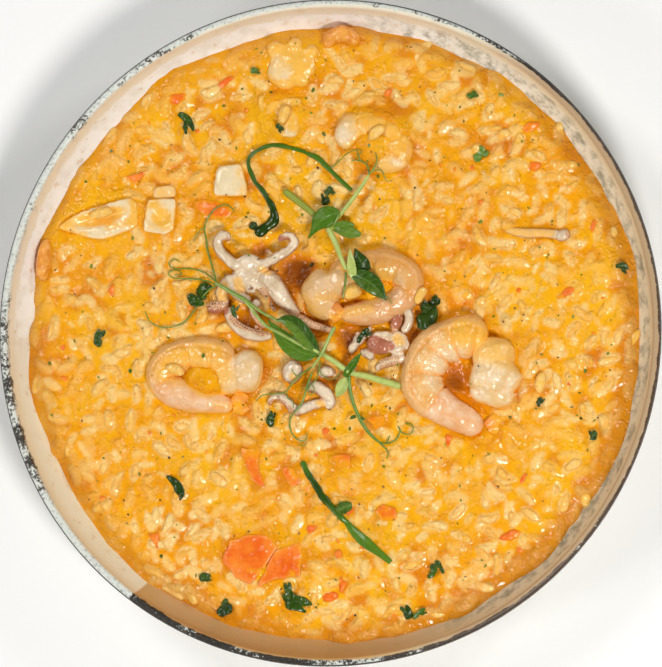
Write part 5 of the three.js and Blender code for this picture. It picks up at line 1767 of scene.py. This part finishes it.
def back_shoot_parts():
    """The stalks, leaves and bud of the shoot at the back."""
    return [
        stem([(-14.6, 11.8, 3.2), (-8.5, 7.1, 4), (-2.8, 2.4, 5), (1.6, -1.4, 6)], [1.25, 1.2, 1.05, 0.8],
             0.5, 0.9),
        stem([(1.2, -1.4, 6.2), (4.3, -7.3, 8.6), (6.6, -12.5, 11.2), (8.6, -16.6, 12.2)],
             [1, 1.02, 0.9, 0.75], 0.9),
        stem([(2.2, -0.6, 6.2), (5.7, 3.3, 5.8), (9.3, 7.9, 5.2), (12.8, 12.8, 4.8), (15.4, 16.9, 4.6)],
             [0.6, 0.72, 0.72, 0.66, 0.5], 0.82),
        leaf([(5.4, 3.6, 6.6), (1.9, 2.8, 7.8), (-1.4, 0.6, 7.6), (-3.7, -2.4, 6.6), (-5.6, -5, 5.6)],
             [1.2, 3.4, 3.2, 1.3, 0.25], 0.42, fold=-0.12, wave=0.03, bloom=0.35, bloom_and_sheen_side=1.0),
        leaf([(2.6, -1.6, 6.6), (6, -1, 6.8), (9, -0.6, 6.4), (10.4, -0.8, 6)], [0.5, 1.7, 1.5, 0.4], 0.46,
             bloom=0.7, fold=0.2, wave=0.04),
        leaf([(2.8, -2, 6.3), (6.2, -2.8, 6.5), (9.8, -3.4, 6.3), (12.6, -4, 5.6)], [0.4, 1.4, 2, 0.7], 0.6,
             bloom=0.6, fold=0.14, wave=0.05),
        leaf([(5.3, 3.4, 6.7), (3.4, 0.6, 6.9), (1.4, -1.8, 6.7)], [0.3, 1, 0.3], 0.75, bloom=0.8,
             fold=0.3),
        leaf([(11.4, -20.2, 12), (10.6, -17, 12.8), (10.2, -13, 13), (9.8, -9.4, 12.4)],
             [0.6, 1.6, 1.2, 0.2], 0.85, fold=0.25, wave=0.03),
        leaf([(15.6, -17, 11.2), (13.8, -14, 12.4), (12.4, -11.4, 12.4), (11.4, -9.2, 11.6)],
             [1.6, 2.5, 1.7, 0.2], 0.12, fold=-0.1, wave=0.16, waves=2.4),
        leaf([(10.6, -17.4, 12), (14.2, -19.4, 12.8), (18, -22, 12.6), (22.2, -27, 11.2)],
             [1.4, 3.2, 2.8, 0.2], 0.2, bloom=0.35, bloom_and_sheen_side=1.0, fold=0.22, wave=0.1, waves=2.0),
        lump((1.1, 0.9, 0.8), around=14, rings=9).moved(2.6, -1.7, 6.6).with_values(tone=0.7, olive=0.6),
    ]


def make_shoot(node, offset, parts, tendrils, material, surface):
    """A pea shoot: parts drawn about (0, 0), with heights above LEVEL, and tendrils laid on it all."""
    x, y = spot(node, *offset)
    bodies = [part.moved(x, y, LEVEL) for part in parts]
    for route, radius in tendrils:
        laid_out = surface.over([(px + x, py + y) for px, py in route], clearance=radius + 0.1, reach=0.7)
        bodies.append(stem(laid_out, [radius, radius, radius * 0.75, radius * 0.6], 0.62))
    new_piece(node + "_leaves", bodies, material, [node])


def wilted(surface, route, radii, dx, dy, tones, seed):
    """A limp stem that lies in the sauce, flattened and ragged."""
    def ragged(along, turn):
        return 1.0 + 0.14 * ripples(along * 60.0, turn * 6.0, 5.0, seed)

    route = surface.over([(x + dx, y + dy) for x, y in route], clearance=0.35, reach=0.5)
    body = tube(route, radii, around=14, rings=110, flat=0.55, swell=ragged)
    return body.plain().with_values(tone=evenly(tones, body.values["along"]))


# The back wilted stem's route and thickness, and how light it is, from its right end to its left end.
WILTED_BACK = [
    (20, -3.3), (15.9, 0.2), (11.2, 5.2), (7.3, 8.4), (3, 10.8), (-1.3, 11.6), (-5.6, 13.2), (-9.2, 12),
    (-13.5, 9.5), (-16.8, 7.4), (-15.7, 4.5), (-13.2, -0.5), (-9.9, -5.1), (-6.7, -9), (-6.2, -11.9),
    (-9.2, -15.4), (-14.6, -19.3), (-19.4, -22.2),
]
WILTED_BACK_RADII = [
    0.7, 0.75, 0.75, 0.85, 0.9, 0.55, 0.75, 0.75, 0.75, 0.65, 0.65, 0.75, 0.8, 0.95, 1.2, 1.7, 1.8, 1.5,
]
WILTED_BACK_TONES = [0.42, 0.4, 0.4, 0.3, 0.24, 0.1, 0.05]

# The front one, from its upper end to its lower end.
WILTED_FRONT = [
    (-14.4, 17), (-11.6, 11.8), (-9, 7.8), (-6.4, 4), (-2.4, -0.6), (1.2, -4.2), (5, -8), (8.7, -11),
    (15.4, -16.2),
]
WILTED_FRONT_RADII = [0.95, 1.05, 1.15, 1.25, 1.1, 0.95, 0.8, 0.7, 0.5]
WILTED_FRONT_TONES = [0.42, 0.2, 0.14, 0.3, 0.45, 0.5, 0.5]


def make_wilted_stems(material, surface):
    """Two limp dark stems, with scraps of leaf that cling to them."""
    def limp_leaf(route, clearance, half_widths, tone, **looks):
        laid_out = surface.over([(x + px, y + py) for px, py in route], clearance)
        return leaf(laid_out, half_widths, tone, **looks)

    x, y = spot("wilted_stem_back", 0.2, 2.5)
    bodies = [
        wilted(surface, WILTED_BACK, WILTED_BACK_RADII, x, y, WILTED_BACK_TONES, 3),
        limp_leaf([(-12.6, -15), (-14.4, -15.6), (-15.4, -16.4)], 0.6, [0.8, 1.5, 0.5], 0.05, wave=0.2),
    ]
    new_piece("wilted_stem_back_strand", bodies, material, ["wilted_stem_back"])
    x, y = spot("wilted_stem_front", -0.5, -0.4)
    bodies = [
        wilted(surface, WILTED_FRONT, WILTED_FRONT_RADII, x, y, WILTED_FRONT_TONES, 4),
        limp_leaf([(0.4, -3.4), (4.6, -8.2), (9, -12), (13.4, -15.4), (18.2, -19.4)], 0.55,
                  [0.6, 1.5, 1.9, 1.3, 0.9], 0.5, bloom=0.4, fold=0.35, wave=0.14, waves=1.6, leafy=0.3),
        limp_leaf([(-2.6, -1), (0.6, 0.9), (3.8, 1.6)], 0.5, [0.9, 2.2, 1.2], 0.2, bloom=0.5, fold=0.3,
                  wave=0.3),
    ]
    new_piece("wilted_stem_front_strand", bodies, material, ["wilted_stem_front"])


# Larger scraps of wilted leaf: x, y, heading in degrees, half length, half width, tone.
LEAF_SCRAPS = [
    (33, 6.4, 68, 5.6, 2.7, 0.02), (35.4, 10.8, 30, 2.6, 1.8, 0.04), (-44, 15.6, 70, 3, 1.8, 0.08),
    (-46.6, 12.4, -30, 3.4, 1.7, 0.14), (-12, -92, -50, 5.6, 2.6, 0.16), (-15.6, -88.6, 75, 3.6, 1.5, 0.1),
    (-37.8, -94, 30, 3, 2, 0.06), (-54.5, -52, -48, 4.6, 1.5, 0.05), (-52.6, -54.6, 80, 2.4, 1, 0.05),
    (-51, 73.5, -52, 4.4, 1.6, 0.1), (-20.9, -29, 85, 3, 1.6, 0.1), (100.9, 21.5, -15, 2.4, 1.4, 0.06),
    (51.9, 61.4, 60, 3, 2, 0.6), (34.7, -82, 55, 2.8, 1.1, 0.14), (37, -80.6, 125, 2.8, 1, 0.14),
    (25.6, -96, 95, 2.6, 1.5, 0.08), (30.5, -96.7, 40, 3, 0.9, 0.3), (-81.1, -0.3, 88, 3.4, 1.4, 0.08),
    (-2.8, 46.6, 60, 1.7, 1.3, 0), (-0.6, 49, 40, 1.7, 1.3, 0), (-17.8, 70.9, -35, 1.7, 1, 0.06),
    (-33, 8.1, 95, 2.3, 1.2, 0.1), (11.8, -1, 50, 3.4, 1.4, 0), (-7.4, 24.2, 60, 0.9, 0.5, 0),
    (49, 82, 40, 1.8, 1.2, 0.25), (-44, -84, 20, 2.2, 1.3, 0.1), (72.4, -24.1, 70, 1.9, 1.1, 0),
    (-26.6, 91, 20, 1.6, 1, 0.3), (-44.1, -7.3, 75, 0.9, 0.6, 0.3), (90.2, -35.6, 85, 1.8, 1, 0.1),
]


def flake(random, x, y, z, heading, a, b):
    """A small scrap of leaf with an uneven outline, lying almost flat."""
    def curled(u, v, share):
        return lean[0] * u + lean[1] * v + 0.3 * b * np.sin(u * 2.2 / a) * share

    angles = (np.arange(7) + random.uniform(-0.3, 0.3, 7)) * 2.0 * math.pi / 7
    reach = random.uniform(0.65, 1.15, 7)
    corners = np.stack([a * reach * np.cos(angles), b * reach * np.sin(angles)], axis=1)
    lean = random.normal(0.0, 0.12, 2)
    body = slab(corners, 0.26, curled, passes=1, square=3.0, around=12, rings=4, uneven=0.3,
                seed=int(abs(x * 7 + y)) % 97)
    return body.moved(x, y, z, heading)


def crumpled(surface, random, x, y, heading, a, b, tone):
    """A limp scrap of leaf that bends and folds, with a shorter lobe or stalk beside it."""
    bodies = []
    bend = random.choice([-1.0, 1.0]) * random.uniform(0.3, 0.7) * b
    parts = [(-a, a, b, bend)]
    if a > 1.5:
        parts.append((-0.1 * a, 0.8 * a, 0.55 * b, -1.6 * bend))
    for low, high, half, curve in parts:
        share = np.array([0.0, 0.35, 0.7, 1.0])
        along = low + (high - low) * share
        across = curve * (4.0 * share * (1.0 - share) if half == b else 1.4 * share)
        route = np.stack([x + along * math.cos(heading) - across * math.sin(heading),
                          y + along * math.sin(heading) + across * math.cos(heading)], axis=1)
        route = surface.over(route, clearance=0.4, reach=0.5)
        widths = half * random.uniform(0.5, 1.2, 5) * (0.45, 1.0, 1.05, 0.9, 0.3)
        fold, waves = random.uniform(-0.3, 0.6), random.uniform(1.2, 2.6)
        body = blade(route, widths, fold=fold, wave=0.3, waves=waves, thickness=0.3, rings=22, across=7)
        bodies.append(body.with_values(tone=tone, bloom=random.uniform(0.0, 0.3)))
    return bodies


def make_scraps(material, surface):
    """Leaf scraps and chopped herbs, scattered over the sauce and the rice."""
    random = np.random.default_rng(301)
    bodies = []
    for x, y, degrees, a, b, tone in LEAF_SCRAPS:
        bodies += crumpled(surface, random, x, y, math.radians(degrees), a, b, tone)
    new_piece("leaf_scraps", bodies, material)
    bodies = []
    for _ in range(HERB_BITS):
        _, _, x, y = in_disc(random, 103.0)
        if surface.at(x, y, surface.away) < 0.4:
            continue
        a = 0.35 + 0.9 * random.beta(1.2, 2.6)
        z = float(surface.at(x, y, surface.top)) + 0.02
        body = flake(random, x, y, z, random.uniform(0.0, 3.1), a, a * random.uniform(0.35, 0.8))
        bodies.append(body.with_values(tone=random.uniform(0.0, 0.5), olive=random.uniform(0.0, 0.55)))
    new_piece("chopped_herbs", bodies, material)


def speck_material():
    shader = Shader("pepper_specks", Roughness=0.5)
    browner = shader.ramp(shader.noise(9.0), 0.45, 0.6)
    shader.colour = shader.mix(browner, srgb(52, 34, 18), srgb(128, 74, 26))
    return shader.finish()


def make_specks(surface):
    """Black and brown specks, few of them on the toppings."""
    random = np.random.default_rng(77)
    bodies = []
    for _ in range(SPECKS):
        radius, angle, x, y = in_disc(random, 104.0)
        size = 0.14 + 0.3 * random.beta(1.2, 3.0)
        if surface.at(x, y, surface.away) < 0.0 and random.uniform() < 0.85:
            continue
        z = float(surface.at(x, y, surface.top)) + 0.3 * size
        grit = lump((size * 1.3, size, size * 0.8), around=7, rings=5, uneven=0.12, seed=int(radius * 5))
        bodies.append(grit.moved(x, y, z, angle * 3.0))
    new_piece("pepper_specks", bodies, speck_material())


# Rice grains that lie on the seafood: x, y, heading in degrees, half length, half width.
STRAY_GRAINS = [
    (7.9, 13.9, 20, 3.4, 2.6), (-54, -12.2, -20, 3.4, 1.9), (-80.4, 42.6, 12, 4, 1.9),
    (31.4, 12.6, 60, 3.2, 1.7), (-37.6, 2.4, 10, 3.4, 1.8), (72.4, -17.5, 80, 3.6, 1.8),
    (16, 69, 40, 3.6, 1.9), (-16.2, 76, 70, 3.6, 1.9),
]


def make_stray_grains(surface, rice):
    grains = []
    for x, y, degrees, a, b in STRAY_GRAINS:
        lift = float(surface.at(x, y, surface.top) - surface.at(x, y, surface.settled)) + 0.3 * b
        grains.append((x, y, math.radians(degrees), a, b, lift, 0.0, 0.5, 0.1, 0.1))
    new_piece("rice_grains_stray", grain_bodies(grains, surface, seed=60), rice)


# ---------------------------------------------------------------- studio

CAMERA_DISTANCE = 4.0
CAMERA_TILT_X = math.radians(8.2)
CAMERA_TILT_Y = math.radians(4.0)
CAMERA_TARGET = Vector((0.0009, -0.0005, RIM_HEIGHT * MM))
SEEN_WIDTH = 0.22756

# Round lights: name, direction, distance and size in metres, power in watts, colour.
LIGHTS = [
    ("key", (0.42, -0.55, 1.05), 1.1, 0.26, 6.9, (1, 0.98, 0.95)),
    ("fill", (-0.7, 0.6, 1.2), 1.3, 0.4, 3.95, (1, 1, 1)),
    ("side_right", (0.9, 0.6, 0.8), 1.3, 0.3, 2.95, (1, 1, 1)),
    ("side_left", (-0.9, -0.5, 0.8), 1.3, 0.3, 3, (1, 1, 1)),
]


def make_floor():
    shader = Shader("pale_floor", Roughness=0.8)
    shader.colour = shader.mix(shader.noise(300.0), srgb(250, 250, 249), srgb(253, 253, 252))
    half = 1600.0
    mesh = mesh_of("floor", Body([(-half, -half, 0), (half, -half, 0), (half, half, 0), (-half, half, 0)],
                                 [(0, 1, 2, 3)]))
    mesh.materials.append(shader.finish())
    placed("floor", mesh)


def aim(thing, place, target):
    """Puts a camera or light at `place`, looking at `target`, with +Y up in its view."""
    back = (place - target).normalized()
    side = Vector((0.0, 1.0, 0.0)).cross(back).normalized()
    turn = Matrix((side, back.cross(side), back)).transposed().to_4x4()
    thing.matrix_world = Matrix.Translation(place) @ turn


def make_studio():
    for name, direction, distance, size, power, colour in LIGHTS:
        light = bpy.data.lights.new(name, "AREA")
        light.shape = "DISK"
        light.size = size
        light.energy = power
        light.color = colour
        place = Vector(direction).normalized() * distance
        aim(placed(name, light), place, Vector((0.0, 0.0, 0.02)))
    world = bpy.data.worlds.new("studio")
    world.use_nodes = True
    background = world.node_tree.nodes["Background"]
    background.inputs["Color"].default_value = (1.0, 1.0, 1.0, 1.0)
    background.inputs["Strength"].default_value = 0.17
    bpy.context.scene.world = world
    bpy.context.scene.view_settings.view_transform = "Standard"


def make_camera():
    """Almost straight above, a little to the right and the front, with the rim just in the frame."""
    data = bpy.data.cameras.new("camera")
    data.sensor_fit = "HORIZONTAL"
    data.lens = data.sensor_width * CAMERA_DISTANCE / SEEN_WIDTH
    camera = placed("camera", data)
    lean = Vector((math.sin(CAMERA_TILT_X), -math.sin(CAMERA_TILT_Y), 0.0))
    lean.z = math.sqrt(1.0 - lean.length_squared)
    aim(camera, CAMERA_TARGET + lean * CAMERA_DISTANCE, CAMERA_TARGET)
    bpy.context.scene.camera = camera


# ---------------------------------------------------------------- the dish

make_camera()
make_studio()
make_floor()
make_bowl()
surface = make_risotto()
flesh = prawn_material()
for number, plan in enumerate(PRAWNS):
    make_prawn(plan, flesh, surface, 10 * number)
squid = squid_material()
make_squid_head(squid, surface)
make_squid_arms_front(squid, surface)
make_squid_arms_right(squid, surface)
make_squid_ring_strip(squid, surface)
make_cut_pieces(CUT_SQUID, squid, surface)
make_squid_dice(squid)
make_cut_pieces(COATED_SEAFOOD, squid, surface)
make_mussels(surface)
tomato = tomato_material()
make_tomato_pieces(tomato, surface)
make_tomato_bits(tomato, surface)
make_stray_grains(surface, bpy.data.materials["cooked_rice"])
limp = greens_material("wilted_leaf", 0.2)
make_wilted_stems(limp, surface)
make_scraps(limp, surface)
make_specks(surface)
fresh = greens_material("pea_leaf", 0.24)
make_shoot("pea_shoot_front", (-0.2, 8.4), front_shoot_parts(), FRONT_TENDRILS, fresh, surface)
make_shoot("pea_shoot_back", (-3.3, 2.3), back_shoot_parts(), BACK_TENDRILS, fresh, surface)
